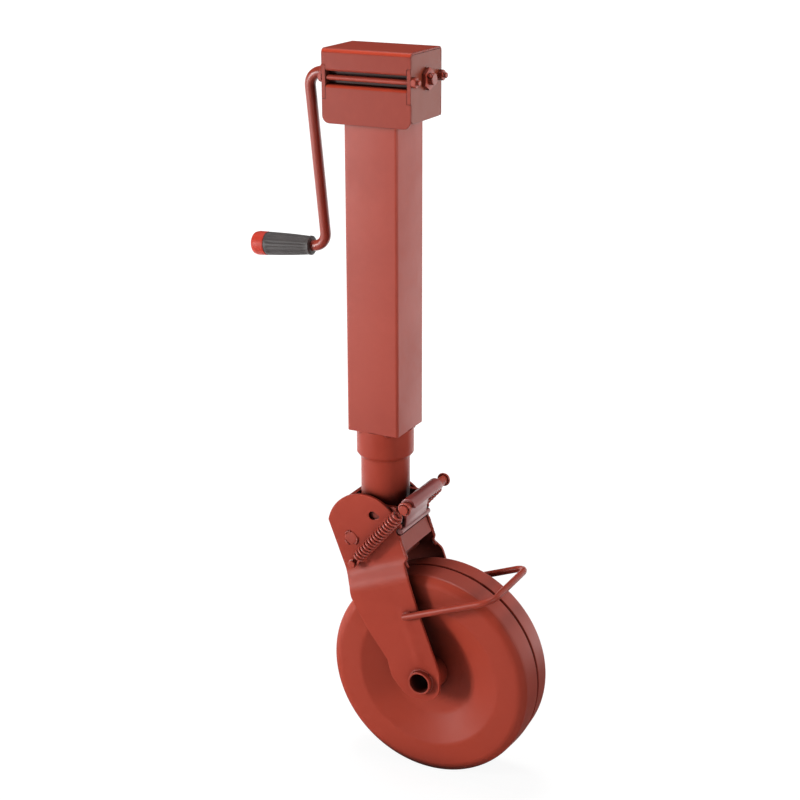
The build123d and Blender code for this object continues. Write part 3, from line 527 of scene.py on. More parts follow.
def weld(name, points, radius, seed, body):
    """A weld bead on a body: a line of overlapping ripples with uneven size."""
    chance = random.Random(seed)
    line = [Vector(p) for p in points]
    dense = []
    for a, b in zip(line, line[1:]):
        steps = max(2, int((b - a).length / 0.5))
        dense += [a.lerp(b, k / steps) for k in range(steps)]
    dense.append(line[-1])
    travelled = [0.0]
    for a, b in zip(dense, dense[1:]):
        travelled.append(travelled[-1] + (b - a).length)
    sizes = []
    for place in travelled:
        wave = abs(math.sin(math.pi * place / WELD_RIPPLE))
        end = min(1.0, (min(place, travelled[-1] - place) + 0.4) / radius)
        sizes.append(radius * (0.84 + 0.22 * wave + chance.uniform(-0.05, 0.05)) * math.sqrt(max(end, 0.1)))
    jitter = [p + Vector([chance.uniform(-0.12, 0.12) * radius for _ in range(3)]) for p in dense]
    bead = rod(name, jitter, lambda index: sizes[index], sides=12)
    settle(bead, weld_paint, body, "red_paint")


def ring_points(centre, axis, radius, count=48, start=0.0, turn=360.0):
    """Points round a circle, or round a part of it."""
    axis = Vector(axis).normalized()
    side = axis.orthogonal().normalized()
    up = axis.cross(side)
    made = []
    for index in range(count + 1 if turn < 360 else count):
        angle = math.radians(start + turn * index / count)
        made.append(Vector(centre) + (side * math.cos(angle) + up * math.sin(angle)) * radius)
    return made


def hexagon_nut(name, centre, axis, flats, height, bore=0.0):
    """A hexagon with the round chamfer of a real nut or bolt head, standing on its centre along the axis."""
    axis = Vector(axis).normalized()
    side = Vector((0, 0, 1))
    up = axis.cross(side)
    segments = 60
    inner = flats / 2
    verts = []
    rings = 6
    for turn in range(segments):
        angle = 2 * math.pi * turn / segments
        lean = math.radians((math.degrees(angle) % 60) - 30)
        corner = inner / math.cos(lean)
        drop = (corner - inner * 0.985) * math.tan(math.radians(30))
        spoke = side * math.cos(angle) + up * math.sin(angle)
        face = inner * 0.95
        section = [
            (bore, 0), (face, 0), (corner, drop), (corner, height - drop), (face, height), (bore, height),
        ]
        verts += [(Vector(centre) + spoke * r + axis * h) * MM for r, h in section]
    faces = []
    for turn in range(segments):
        a = turn * rings
        b = (turn + 1) % segments * rings
        faces += [(a + k, a + k + 1, b + k + 1, b + k) for k in range(rings - 1)]
        if bore:
            faces.append((a + rings - 1, a, b, b + rings - 1))
    return tidy(new_piece(name, verts, faces), 25.0)


# The square tube, its guide bush and the stem

TUBE_HALF = 41.0
TUBE_WALL = 3.5
TUBE_TOP = 451.5
TUBE_CORNER = 4.0


def square_ring(half, corner):
    corners = [(half, -half), (half, half), (-half, half), (-half, -half)]
    return soften(corners, corner, closed=True, step=7.5)


def make_outer_tube():
    outer = square_ring(TUBE_HALF, TUBE_CORNER)
    inner = square_ring(TUBE_HALF - TUBE_WALL, TUBE_CORNER - TUBE_WALL)
    count = len(outer)
    levels = [0.0, TUBE_TOP]
    verts = []
    for ring in (outer, inner):
        for level in levels:
            verts += [Vector((u, v, level)) * MM for u, v in ring]
    faces = []
    for k in range(count):
        n = (k + 1) % count
        faces.append((k, n, count + n, count + k))
        faces.append((2 * count + n, 2 * count + k, 3 * count + k, 3 * count + n))
        faces.append((n, k, 2 * count + k, 2 * count + n))
        faces.append((count + k, count + n, 3 * count + n, 3 * count + k))
    piece = tidy(new_piece("square_tube", verts, faces), 50.0)
    soft_edges(piece, 0.4)
    settle(piece, frame_paint, "root", "red_paint", "outer_tube")


STEM_RADIUS = 36.0
BUSH_RADIUS = 42.0
BUSH_LOW = -38.0
BUSH_LIP = -44.0


def make_guide_bush():
    outline = soften(
        [(STEM_RADIUS + 0.05, 0), (BUSH_RADIUS, 0), (BUSH_RADIUS, BUSH_LOW), (STEM_RADIUS + 1.5, BUSH_LIP),
         (STEM_RADIUS + 0.05, BUSH_LIP)],
        [0, 0.4, 1.5, 0.5, 0], closed=True)
    piece = lathe("guide_collar", outline, (0, 0, 0), (0, 0, 1), 120)
    settle(piece, stem_paint, "root", "red_paint", "guide_bush")
    for index, angle in enumerate((-20, 70, 160, 250)):
        points = ring_points((0, 0, -1.8), (0, 0, 1), BUSH_RADIUS - 0.1, 16, angle, 36)
        weld("collar_weld_%d" % index, points, 2.2, index, "root")


STEM_TOP = 372.2
STEM_LOW = -146.0
STEM_BORE = 31.0


def make_stem():
    wall = [(STEM_BORE, STEM_TOP), (STEM_RADIUS, STEM_TOP), (STEM_RADIUS, STEM_LOW), (STEM_BORE, STEM_LOW)]
    piece = lathe("stem", soften(wall, 0.5, closed=True), (0, 0, 0), (0, 0, 1), 128)
    settle(piece, stem_paint, "stem", "red_paint", "stem_tube")


# The gear head

HEAD_LEFT = -70.8
HEAD_RIGHT = 65.2
HEAD_FRONT = 47.75
HEAD_TOP = 546.5
PLATE = 6.0
SHEET = 3.0
SKIRT_LOW = 444.7
SKIRT_ROUND = 11.0
SHAFT_Z = 507.3
GROOVE_LOW = 498.5
GROOVE_HIGH = 516.0
GROOVE_FLOOR = 36.0
TAB_LOW = 476.0
TAB_HIGH = 527.0
BOLT_Y = 42.0
BOLT_RADIUS = 4.0
BOLT_FLATS = 13.0


def cover_line(inset):
    """The front half of the cover's section, from the skirt to the middle of the top, as (y, z)."""
    front = HEAD_FRONT - inset
    floor = GROOVE_FLOOR - inset
    points = [
        (-front, SKIRT_LOW), (-front, GROOVE_LOW - inset), (-floor, GROOVE_LOW - inset),
        (-floor, GROOVE_HIGH + inset), (-front, GROOVE_HIGH + inset),
        (-front, HEAD_TOP - inset), (0, HEAD_TOP - inset),
    ]
    return soften(points, [0, 8.0 - inset, 1.2 + inset, 1.2 + inset, 3.6 - inset, 7.0 - inset, 0], step=8)


def make_head_cover():
    outer = cover_line(0)
    inner = cover_line(SHEET)
    back_outer = [(-y, z) for y, z in reversed(outer[:-1])]
    back_inner = [(-y, z) for y, z in reversed(inner[:-1])]
    section = outer + back_outer + list(reversed(inner + back_inner))
    piece = prism("head_cover_sheet", section, lambda y, z, side: (HEAD_RIGHT if side else HEAD_LEFT, y, z))
    deep = HEAD_FRONT + 2
    shallow = HEAD_FRONT - SHEET
    slope = deep - shallow
    notch = [
        (-shallow + 0.02, TAB_LOW), (-deep, TAB_LOW + slope), (-deep, TAB_HIGH - slope),
        (-shallow + 0.02, TAB_HIGH), (-shallow + 14, TAB_HIGH), (-shallow + 14, TAB_LOW),
    ]
    for end, inner_x in ((HEAD_LEFT - 1, HEAD_LEFT + PLATE), (HEAD_RIGHT - PLATE, HEAD_RIGHT + 1)):
        for face in (1, -1):
            cutter = prism("cutter", [(y * face, z) for y, z in notch],
                           lambda y, z, side: (inner_x if side else end, y, z))
            carve(piece, cutter)
    for corner in (HEAD_LEFT, HEAD_RIGHT):
        inward = 1 if corner == HEAD_LEFT else -1
        size = SKIRT_ROUND
        outline = [Vector((corner - inward, SKIRT_LOW - 1)), Vector((corner + inward * size, SKIRT_LOW - 1))]
        arc = []
        for k in range(9):
            angle = math.radians(270 + 90 * k / 8) if inward < 0 else math.radians(270 - 90 * k / 8)
            x = corner + inward * size + size * math.cos(angle)
            arc.append(Vector((x, SKIRT_LOW + size + size * math.sin(angle))))
        outline += arc + [Vector((corner - inward, SKIRT_LOW + size))]
        cutter = prism("cutter", outline, lambda x, z, side: (x, -60 if side else 60, z))
        carve(piece, cutter)
    below = [(0, SKIRT_LOW - 1), (60, SKIRT_LOW - 1), (60, TUBE_TOP), (0, TUBE_TOP)]
    carve(piece, prism("cutter", below, lambda y, z, side: (HEAD_RIGHT + 1 if side else HEAD_LEFT - 1, y, z)))
    tidy(piece, 30.0)
    soft_edges(piece, 0.6, 2, 50.0)
    settle(piece, head_paint, "root", "red_paint", "head_cover")


def side_plate_outline():
    half = HEAD_FRONT - SHEET
    top = HEAD_TOP - SHEET
    bevel = 3.0
    front = [
        (-half, TUBE_TOP), (-half, TAB_LOW), (-half - SHEET, TAB_LOW + bevel),
        (-half - SHEET, TAB_HIGH - bevel), (-half, TAB_HIGH), (-half, top),
    ]
    radii = [6.0, 0.8, 1.0, 1.0, 0.8, 4.0]
    points = front + [(-y, z) for y, z in reversed(front)]
    return soften(points, radii + list(reversed(radii)), closed=True)


def make_side_plates():
    outline = side_plate_outline()
    for name, node, x0, x1 in (
        ("left_plate", "side_plate_left", HEAD_LEFT, HEAD_LEFT + PLATE),
        ("right_plate", "side_plate_right", HEAD_RIGHT - PLATE, HEAD_RIGHT),
    ):
        piece = prism(name, outline, lambda y, z, side: (x1 if side else x0, y, z))
        soft_edges(piece, 0.5)
        settle(piece, plate_paint, "root", "red_paint", node)
        second_finish(piece, head_paint, lambda facet: abs(facet.normal.x) <= 0.5)


def bolt_end(name, start, length, y):
    """A threaded bolt end that stands out of its nut."""
    pitch = 1.25
    turns = int(length / pitch)
    outline = [(0, -3), (3.9, -3), (3.9, 0)]
    for k in range(turns):
        outline += [(3.35, (k + 0.5) * pitch), (3.9, (k + 1) * pitch)]
    outline += [(3.1, length), (0, length)]
    return lathe(name, outline, (start, y, SHAFT_Z), (1, 0, 0), 32)


def make_tie_bolts():
    for number, y in enumerate((-BOLT_Y, BOLT_Y)):
        line = [(HEAD_LEFT, y, SHAFT_Z), (HEAD_RIGHT + 6, y, SHAFT_Z)]
        shank = rod("tie_bolt_shank_%d" % number, line, BOLT_RADIUS, 28)
        settle(shank, frame_paint, "root", "red_paint", "tie_bolts")
        head = hexagon_nut("tie_bolt_head_%d" % number, (HEAD_LEFT, y, SHAFT_Z), (-1, 0, 0), BOLT_FLATS, 5.3)
        settle(head, frame_paint, "root", "red_paint")
        nut = hexagon_nut("tie_nut_%d" % number, (HEAD_RIGHT, y, SHAFT_Z), (1, 0, 0), BOLT_FLATS, 6.5, 3.9)
        settle(nut, frame_paint, "root", "red_paint", "tie_nuts")
        end = bolt_end("tie_bolt_end_%d" % number, HEAD_RIGHT + 6.5, 4.5, y)
        settle(end, frame_paint, "root", "red_paint")


# The crank

SHAFT_RADIUS = 8.0
SHAFT_HOLE = 8.1
SLEEVE_END = -94.4
SLEEVE_START = -59.8
SLEEVE_RADIUS = 13.5
COLLAR_FLATS = 27.0
ARM_X = -117.4
ARM_LENGTH = 264.0
ARM_TURN = math.radians(9.4)
GRIP_DROOP = math.radians(3.9)
STUB_END = 78.0
COLLAR_END = 71.2
PIN_X = 74.25
PIN_TURN = math.radians(32)
DOWN = Vector((0, math.sin(ARM_TURN), -math.cos(ARM_TURN)))
OUT = Vector((-math.cos(GRIP_DROOP), 0, 0)) + DOWN * math.sin(GRIP_DROOP)
ELBOW = Vector((ARM_X, 0, SHAFT_Z))
WRIST = ELBOW + DOWN * ARM_LENGTH


def make_crank():
    points = [Vector((STUB_END, 0, SHAFT_Z)), ELBOW, WRIST, WRIST + OUT * 112.0]
    line = soften(points, [0, 22.0, 23.0, 0], step=5)
    piece = rod("crank_bar", line, SHAFT_RADIUS, 40, rounding=0.8)
    settle(piece, crank_paint, "crank", "red_paint", "crank_rod")
    outline = [
        (SHAFT_HOLE, SLEEVE_END), (SLEEVE_RADIUS, SLEEVE_END), (SLEEVE_RADIUS, SLEEVE_START),
        (SHAFT_HOLE, SLEEVE_START),
    ]
    outline = soften(outline, [0.3, 1.6, 0.3, 0.3], closed=True)
    sleeve = lathe("crank_sleeve", outline, (0, 0, SHAFT_Z), (1, 0, 0), 64)
    settle(sleeve, frame_paint, "root", "red_paint", "shaft_sleeve")
    weld("sleeve_weld", ring_points((HEAD_LEFT - 0.5, 0, SHAFT_Z), (1, 0, 0), 13.8, 60), 1.8, 11, "root")
    start = (HEAD_RIGHT, 0, SHAFT_Z)
    height = COLLAR_END - HEAD_RIGHT
    collar = hexagon_nut("crank_collar", start, (1, 0, 0), COLLAR_FLATS, height, SHAFT_HOLE)
    settle(collar, frame_paint, "root", "red_paint", "shaft_bush")
    lift = Vector((0, -math.cos(PIN_TURN), math.sin(PIN_TURN))) * 12
    middle = Vector((PIN_X, 0, SHAFT_Z))
    pin = rod("crank_end_pin", [middle - lift, middle + lift], 2.25, 24, rounding=0.5)
    settle(pin, frame_paint, "crank", "red_paint", "end_pin")


GRIP_START = 24.0
GRIP_LENGTH = 77.0
GRIP_RIBS = 14


def make_grip():
    """The grip's sleeve: a slow taper with long flutes between flat ribs, and a lip at each end."""
    side = OUT.orthogonal().normalized()
    up = OUT.cross(side)
    around = GRIP_RIBS * 12
    stations = [0, 0.6, 1.2, 3.5, 4.2, 6, 8, 10, 14, 22, 32, 44, 56, 62, 66, 69, 71, 73, 75, 76.4, 77]
    verts = []
    for station in stations:
        share = station / GRIP_LENGTH
        bulge = 1.0 * math.sin(math.pi * share)
        base = 13.4 + 4.0 * share + bulge * 0.6
        fluted = min(1.0, max(0.0, (station - 5) / 4)) * min(1.0, max(0.0, (73 - station) / 5))
        edge = 0.0
        if station < 1.0:
            edge = -1.0 * (1 - station / 1.2)
        if station > 76:
            edge = -0.5
        if 1.0 <= station <= 3.6:
            edge = 0.7
        for turn in range(around):
            angle = 2 * math.pi * turn / around
            wave = 0.5 + 0.5 * math.cos(GRIP_RIBS * angle)
            flute = -1.0 * fluted * (1 - min(1.0, wave * 1.7))
            radius = min(base + edge + flute, 18.0)
            spoke = side * math.cos(angle) + up * math.sin(angle)
            verts.append((WRIST + OUT * (GRIP_START + station) + spoke * radius) * MM)
    for depth, radius in ((GRIP_LENGTH, 8.2), (0.0, 8.2)):
        for turn in range(around):
            angle = 2 * math.pi * turn / around
            spoke = side * math.cos(angle) + up * math.sin(angle)
            verts.append((WRIST + OUT * (GRIP_START + depth) + spoke * radius) * MM)
    rings = len(stations) + 2
    faces = []
    for ring in range(rings):
        a = ring * around
        b = (ring + 1) % rings * around
        for turn in range(around):
            nxt = (turn + 1) % around
            faces.append((a + turn, a + nxt, b + nxt, b + turn))
    piece = tidy(new_piece("grip_sleeve_ribbed", verts, faces), 50.0)
    settle(piece, grip_plastic, "grip", "grip_grey", "grip_sleeve")
    start = GRIP_START + GRIP_LENGTH + 0.2
    outline = [(0, start), (17.7, start), (18.0, start + 14), (16.4, start + 22.4), (0, start + 22.8)]
    cap = lathe("grip_end_cap", soften(outline, [0, 0.8, 4, 5.5, 0]), WRIST, OUT, 96, closed=False)
    settle(cap, cap_plastic, "grip", "cap_red", "grip_cap")


# The fork, measured from its pivot

PIVOT = Vector((-33.0, 0.0, -167.0))
FORK_INNER = 43.0
FORK_PLATE = 5.0
LEG_SPREAD = 14.0
LEG_OUTER = FORK_INNER + FORK_PLATE + LEG_SPREAD
AXLE_STEP = Vector((122.8, 0, -201.2))
NOTCH_STEP = Vector((80.0, 0, 24.5))
AXLE = PIVOT + AXLE_STEP
ROD = PIVOT + Vector((97.0, 0, 70.0))
NOTCH = PIVOT + NOTCH_STEP
STUD = PIVOT + Vector((8.0, 0, -35.0))
SIDES = (("near", -1), ("far", 1))


def fork_outline():
    """The plate's edge round its head, waist and leg, from the pivot."""
    centre = Vector((21.0, 12.0))
    radius = 60.5
    head = []
    for k in range(25):
        angle = math.radians(169.5 - (169.5 - 47.0) * k / 24)
        head.append(centre + Vector((math.cos(angle), math.sin(angle))) * radius)
    reach = 152.0
    low = -232.0
    edge = [
        (82, 34), (81, 17), (91.5, -15.5), (88.5, -23), (98.5, -38), (115.5, -88),
        (reach, low + 48), (reach, low), (98.8, low), (73.8, low + 27), (65.8, low + 54),
        (30.7, -132), (6, -90), (2, -74), (-7, -57),
    ]
    radii = [4, 3, 3, 4, 12, 30, 20, 28, 25, 15, 12, 40, 12, 8, 10]
    line = soften([head[-1]] + edge + [head[0]], [0] + radii + [0], step=7)
    return head + [Vector(p) for p in line[1:-1]]


def circle_2d(centre, radius, count=32):
    return [Vector(centre) + Vector((math.cos(a), math.sin(a))) * radius
            for a in (2 * math.pi * k / count for k in range(count))]


def keyhole_2d():
    """A round hole with a narrow nose towards the latch."""
    body = Vector((36.0, 42.0))
    nose = Vector((44.5, 42.0))
    made = []
    for k in range(25):
        angle = math.radians(62 + (298 - 62) * k / 24)
        made.append(body + Vector((math.cos(angle), math.sin(angle))) * 6.5)
    for k in range(9):
        angle = math.radians(-62 + 124 * k / 8)
        made.append(nose + Vector((math.cos(angle), math.sin(angle))) * 2.5)
    return made


def flat_plate(name, outlines, thickness, edge):
    """A plate with holes and rounded edges, as a mesh in X and Z, centred on Y = 0."""
    curve = bpy.data.curves.new(name, "CURVE")
    curve.dimensions = "2D"
    curve.fill_mode = "BOTH"
    curve.extrude = (thickness / 2 - edge) * MM
    curve.bevel_depth = edge * MM
    curve.bevel_resolution = 2
    curve.offset = -edge * MM
    for outline in outlines:
        spline = curve.splines.new("POLY")
        spline.points.add(len(outline) - 1)
        for point, place in zip(spline.points, outline):
            point.co = (place.x * MM, place.y * MM, 0, 1)
        spline.use_cyclic_u = True
    holder = bpy.data.objects.new(name + "_curve", curve)
    bpy.context.scene.collection.objects.link(holder)
    graph = bpy.context.evaluated_depsgraph_get()
    mesh = bpy.data.meshes.new_from_object(holder.evaluated_get(graph), depsgraph=graph)
    bpy.data.objects.remove(holder)
    mesh.transform(Matrix.Rotation(math.radians(90), 4, "X"))
    piece = bpy.data.objects.new(name, mesh)
    bpy.context.scene.collection.objects.link(piece)
    return piece


JOGGLE = Vector((44.0, -47.5))
JOGGLE_RUN = 25.0
JOGGLE_TILT = math.radians(22)


def leg_shift(x, z):
    """How far a leg stands out from the head plate: a slanted bend out and one back, each with its round."""
    above = (z - JOGGLE.y) * math.cos(JOGGLE_TILT) - (x - JOGGLE.x) * math.sin(JOGGLE_TILT)

    def bent(run, half=8.5):
        if abs(run) < half:
            return (run + half) ** 2 / (4 * half)
        return max(run, 0.0)

    return LEG_SPREAD / JOGGLE_RUN * (bent(JOGGLE_RUN / 2 - above) - bent(-JOGGLE_RUN / 2 - above))


def rib_height(x, z):
    """The pressed rib that runs down the leg beside its front edge."""
    start = Vector((92.0, -95.0))
    end = Vector((120.0, -172.0))
    run = end - start
    along = (Vector((x, z)) - start).dot(run) / run.length_squared
    near = start + run * min(1.0, max(0.0, along))
    distance = (Vector((x, z)) - near).length
    return 1.6 * math.exp(-((distance / 5.5) ** 2))


def make_fork_plate(name, node, face):
    notch = [point + PIVOT.xz for point in circle_2d(NOTCH_STEP.xz, 6.0, 28)]
    axle_hole = circle_2d(AXLE_STEP.xz, 18.0, 64)
    piece = flat_plate(name, [fork_outline(), keyhole_2d(), axle_hole], FORK_PLATE, 0.6)
    bm = bmesh.new()
    bm.from_mesh(piece.data)
    bmesh.ops.remove_doubles(bm, verts=bm.verts, dist=1e-7)
    for level in range(-228, 72, 4):
        everything = bm.verts[:] + bm.edges[:] + bm.faces[:]
        bmesh.ops.bisect_plane(bm, geom=everything, plane_co=(0, 0, level * MM), plane_no=(0, 0, 1))
    for column in range(-36, 152, 5):
        everything = bm.verts[:] + bm.edges[:] + bm.faces[:]
        bmesh.ops.bisect_plane(bm, geom=everything, plane_co=(column * MM, 0, 0), plane_no=(1, 0, 0))
    middle = FORK_INNER + FORK_PLATE / 2
    for vert in bm.verts:
        x, z = vert.co.x / MM, vert.co.z / MM
        out = middle + leg_shift(x, z) + rib_height(x, z)
        thick = vert.co.y / MM
        vert.co = Vector((PIVOT.x + x, face * out + thick, PIVOT.z + z)) * MM
    bm.to_mesh(piece.data)
    bm.free()
    carve(piece, prism("cutter", notch, lambda x, z, side: (x, face * (100 if side else 20), z)))
    tidy(piece, 32.0)
    settle(piece, fork_paint, "fork", "red_paint", node)
    # The inner faces get the painted shade.
    second_finish(piece, inner_shade_paint, lambda facet: facet.normal.y * face < -0.5)


def make_forks():
    outer = FORK_INNER + FORK_PLATE
    pin_outline = soften(
        [(0, 30), (10, 30), (10, outer + 0.4), (8.8, outer + 0.9), (0, outer + 0.9)], [0, 0, 0.3, 0.5, 0])
    web_steps = ((80.5, 0, 14), (90.6, 0, -14.5), (88.6, 0, -21), (93.4, 0, -30))
    web_edge = [PIVOT + Vector(step) for step in web_steps]
    for side, face in SIDES:
        make_fork_plate("%s_fork_plate" % side, "fork_plate_%s" % side, face)
        pin = lathe("pivot_pin_end_%s" % side, pin_outline, PIVOT, (0, face, 0), 48, closed=False)
        settle(pin, frame_paint, "fork", "red_paint", "fork_pin")
        centre = (PIVOT.x, face * (outer + 0.2), PIVOT.z)
        for number, (start, turn) in enumerate(((25, 70), (150, 50), (250, 60))):
            points = ring_points(centre, (0, 1, 0), 10.6, 14, start, turn)
            weld("pin_weld_%s_%d" % (side, number), points, 1.8, 30 + number, "fork")
        line = [Vector((p.x, face * (FORK_INNER + FORK_PLATE / 2 + 1.4), p.z)) for p in web_edge]
        weld("web_weld_%s" % side, line, 2.3, 41, "fork")


def make_axle():
    outline = soften([(15, -70.8), (18, -70.8), (18, 70.8), (15, 70.8)], 0.7, closed=True)
    piece = lathe("axle_sleeve", outline, (AXLE.x, 0, AXLE.z), (0, 1, 0), 96)
    settle(piece, frame_paint, "fork", "red_paint", "axle_tube")
    for side, face in SIDES:
        points = ring_points((AXLE.x, face * (LEG_OUTER + 0.2), AXLE.z), (0, 1, 0), 18.6, 60)
        weld("axle_weld_%s" % side, points, 1.2, 51, "fork")


def make_foot_bar():
    y = LEG_OUTER + 5.0
    start = PIVOT + Vector((95.0, 0, -101.0))
    end = PIVOT + Vector((236.0, 0, -46.0))
    points = [(start.x, -y, start.z), (end.x, -y, end.z), (end.x, y, end.z), (start.x, y, start.z)]
    line = soften(points, [0, 22, 22, 0], step=5)
    piece = rod("step_bar", line, 5.0, 32, rounding=0.8)
    settle(piece, frame_paint, "fork", "red_paint", "foot_bar")
    run = (end - start).normalized()
    for face in (-1, 1):
        for side in (-1, 1):
            lift = Vector((-run.z, 0, run.x)) * side * 4.2
            a = Vector((start.x, face * (LEG_OUTER + 1.0), start.z)) + lift - run * 1.5
            b = a + run * (13 if side > 0 else 20)
            points = [a, a.lerp(b, 0.5) + lift * 0.12, b]
            weld("step_weld_%d_%d" % (face, side), points, 1.9, 60 + side, "fork")


# The latch and its springs

LATCH_SHEET = 5.0
ROLL_RADIUS = 9.5
LATCH_FOOT_HALF = 34.5
LATCH_NEAR_END = -55.0
LATCH_FAR_END = 38.0
TONGUE_END = 46.5
BAR_RADIUS = 7.0
BAR_END = 71.0


def make_latch():
    """One sheet that stands behind the bar and is rolled over it, with a wider roll on the near side."""
    across = ROD - NOTCH
    gap = math.hypot(across.x, across.z)
    lean = math.atan2(across.z, across.x) + math.asin(ROLL_RADIUS / gap)
    reach = math.sqrt(gap ** 2 - ROLL_RADIUS ** 2)
    run = Vector((math.cos(lean), 0, math.sin(lean)))
    away = Vector((-math.sin(lean), 0, math.cos(lean)))
    full = reach + ROLL_RADIUS * (lean + math.pi / 2 + math.radians(3))
    half = LATCH_FOOT_HALF
    sheet = [
        (-half, 0), (half, 0), (half, 14), (LATCH_FAR_END, reach), (LATCH_FAR_END, full),
        (LATCH_NEAR_END, full), (LATCH_NEAR_END, reach + 1.5), (-44, reach - 4), (-half, 14),
    ]
    outline = soften(sheet, [0, 0, 8, 6, 1.5, 1.5, 3, 3, 8], closed=True)
    piece = flat_plate("latch_sheet", [outline], LATCH_SHEET, 0.8)
    bm = bmesh.new()
    bm.from_mesh(piece.data)
    bmesh.ops.remove_doubles(bm, verts=bm.verts, dist=1e-7)
    level = 4.0
    while level < full:
        everything = bm.verts[:] + bm.edges[:] + bm.faces[:]
        bmesh.ops.bisect_plane(bm, geom=everything, plane_co=(0, 0, level * MM), plane_no=(0, 0, 1))
        level += 6.0 if level < reach - 6 else 1.2
    for vert in bm.verts:
        y, height, out = vert.co.x / MM, vert.co.z / MM, vert.co.y / MM
        if height < reach:
            spot = NOTCH + run * height + away * out
        else:
            angle = lean + math.pi / 2 - (height - reach) / ROLL_RADIUS
            spot = ROD + Vector((math.cos(angle), 0, math.sin(angle))) * (ROLL_RADIUS + out)
        vert.co = (spot + Vector((0, y, 0))) * MM
    bm.to_mesh(piece.data)
    bm.free()
    tidy(piece, 32.0)
    settle(piece, latch_paint, "latch", "red_paint", "latch_plate")
    tongue = Vector((0, TONGUE_END, 0))
    foot = rod("latch_tongues", [NOTCH - tongue, NOTCH + tongue], 4.6, 32, rounding=0.6)
    settle(foot, latch_paint, "latch", "red_paint", "latch_plate")
    outline = [(0, -BAR_END), (BAR_RADIUS, -BAR_END), (BAR_RADIUS, BAR_END), (0, BAR_END)]
    outline = soften(outline, [0, 1.0, 1.0, 0])
    bar = lathe("latch_bar", outline, (ROD.x, 0, ROD.z), (0, 1, 0), 48, closed=False)
    settle(bar, frame_paint, "latch", "red_paint", "latch_rod")


def make_spring(name, node, face):
    """A close-wound pull spring with a hook round the stud and a ring round the latch bar."""
    wire = 1.7
    coil = 8.3
    turns = 17
    hook = 5.4
    ring = 8.6
    start = Vector((STUD.x, face * 58.5, STUD.z))
    end = Vector((ROD.x, face * 65.5, ROD.z))
    along = (end - start).normalized()
    low = start + along * 13.0
    high = end - along * 15.5
    side = along.cross(Vector((0, face, 0))).normalized()
    up = along.cross(side)
    line = []
    for k in range(15):
        angle = math.radians(-150 + 240 * k / 14)
        line.append(start + (-along * math.cos(angle) + side * math.sin(angle)) * hook)
    steps = turns * 24
    length = (high - low).length
    for k in range(steps + 1):
        angle = 2 * math.pi * k / 24
        grow = min(1.0, 0.55 + k / 40, 0.75 + (steps - k) / 40)
        spoke = side * math.cos(angle) + up * math.sin(angle)
        line.append(low + along * (length * k / steps) + spoke * coil * grow)
    for k in range(27):
        angle = math.radians(180 - 330 * k / 26)
        line.append(end + (along * math.cos(angle) + side * math.sin(angle)) * ring)
    piece = rod(name, line, wire, 12)
    piece.data.materials.append(spring_paint)
    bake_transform(piece)
    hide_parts(node)


def make_studs():
    outline = [(0, 47.5), (4.6, 47.5), (3.6, 50), (3.6, 60.6), (5.6, 61.0), (5.6, 64.6), (0, 64.6)]
    outline = soften(outline, [0, 0.3, 1, 0.3, 0.4, 1.2, 0])
    for side, face in SIDES:
        piece = lathe("spring_stud_%s" % side, outline, (STUD.x, 0, STUD.z), (0, face, 0), 32, closed=False)
        settle(piece, frame_paint, "fork", "red_paint", "spring_studs")


# The wheel

WHEEL_RADIUS = 160.98


def wheel_outline():
    """The pressed half from the hub over the dish, ring and shoulder to the seam, then back inside."""
    outer = [
        (25.1, 24), (48, 24), (68, 26.5), (112.5, 43.9), (148, 44), (159.0, 36), (WHEEL_RADIUS, 2.8),
        (153.0, 0.06),
    ]
    outer_radii = [0, 10, 40, 20, 16, 9, 1.0, 0]
    inner = [(151.0, 0.06), (155.5, 33), (147, 41), (114, 40.8), (69, 24.5), (48, 21), (25.1, 21)]
    line = soften(outer, outer_radii, step=3)
    return line + soften(inner, [0, 6, 8, 50, 36, 8, 0], step=8)


TREAD_FROM = 150.0


def make_wheel():
    outline = wheel_outline()

    def on_tread(facet):
        reach = math.hypot(facet.center.x / MM - AXLE.x, facet.center.z / MM - AXLE.z)
        return reach > TREAD_FROM and abs(facet.normal.y) < 0.5

    for side, face in SIDES:
        piece = lathe("%s_wheel_half" % side, outline, (AXLE.x, 0, AXLE.z), (0, face, 0), 192)
        settle(piece, wheel_paint, "wheel", "wheel_red", "wheel_half_%s" % side)
        second_finish(piece, tread_paint, on_tread)
    outline = soften([(21.05, -50), (25.05, -50), (25.05, 50), (21.05, 50)], 0.5, closed=True)
    hub = lathe("wheel_hub_tube", outline, (AXLE.x, 0, AXLE.z), (0, 1, 0), 72)
    settle(hub, wheel_paint, "wheel", "wheel_red", "wheel_hub")


# Floor and light

FLOOR_HALF = 30
FLOOR_MIRRORED = 1.95


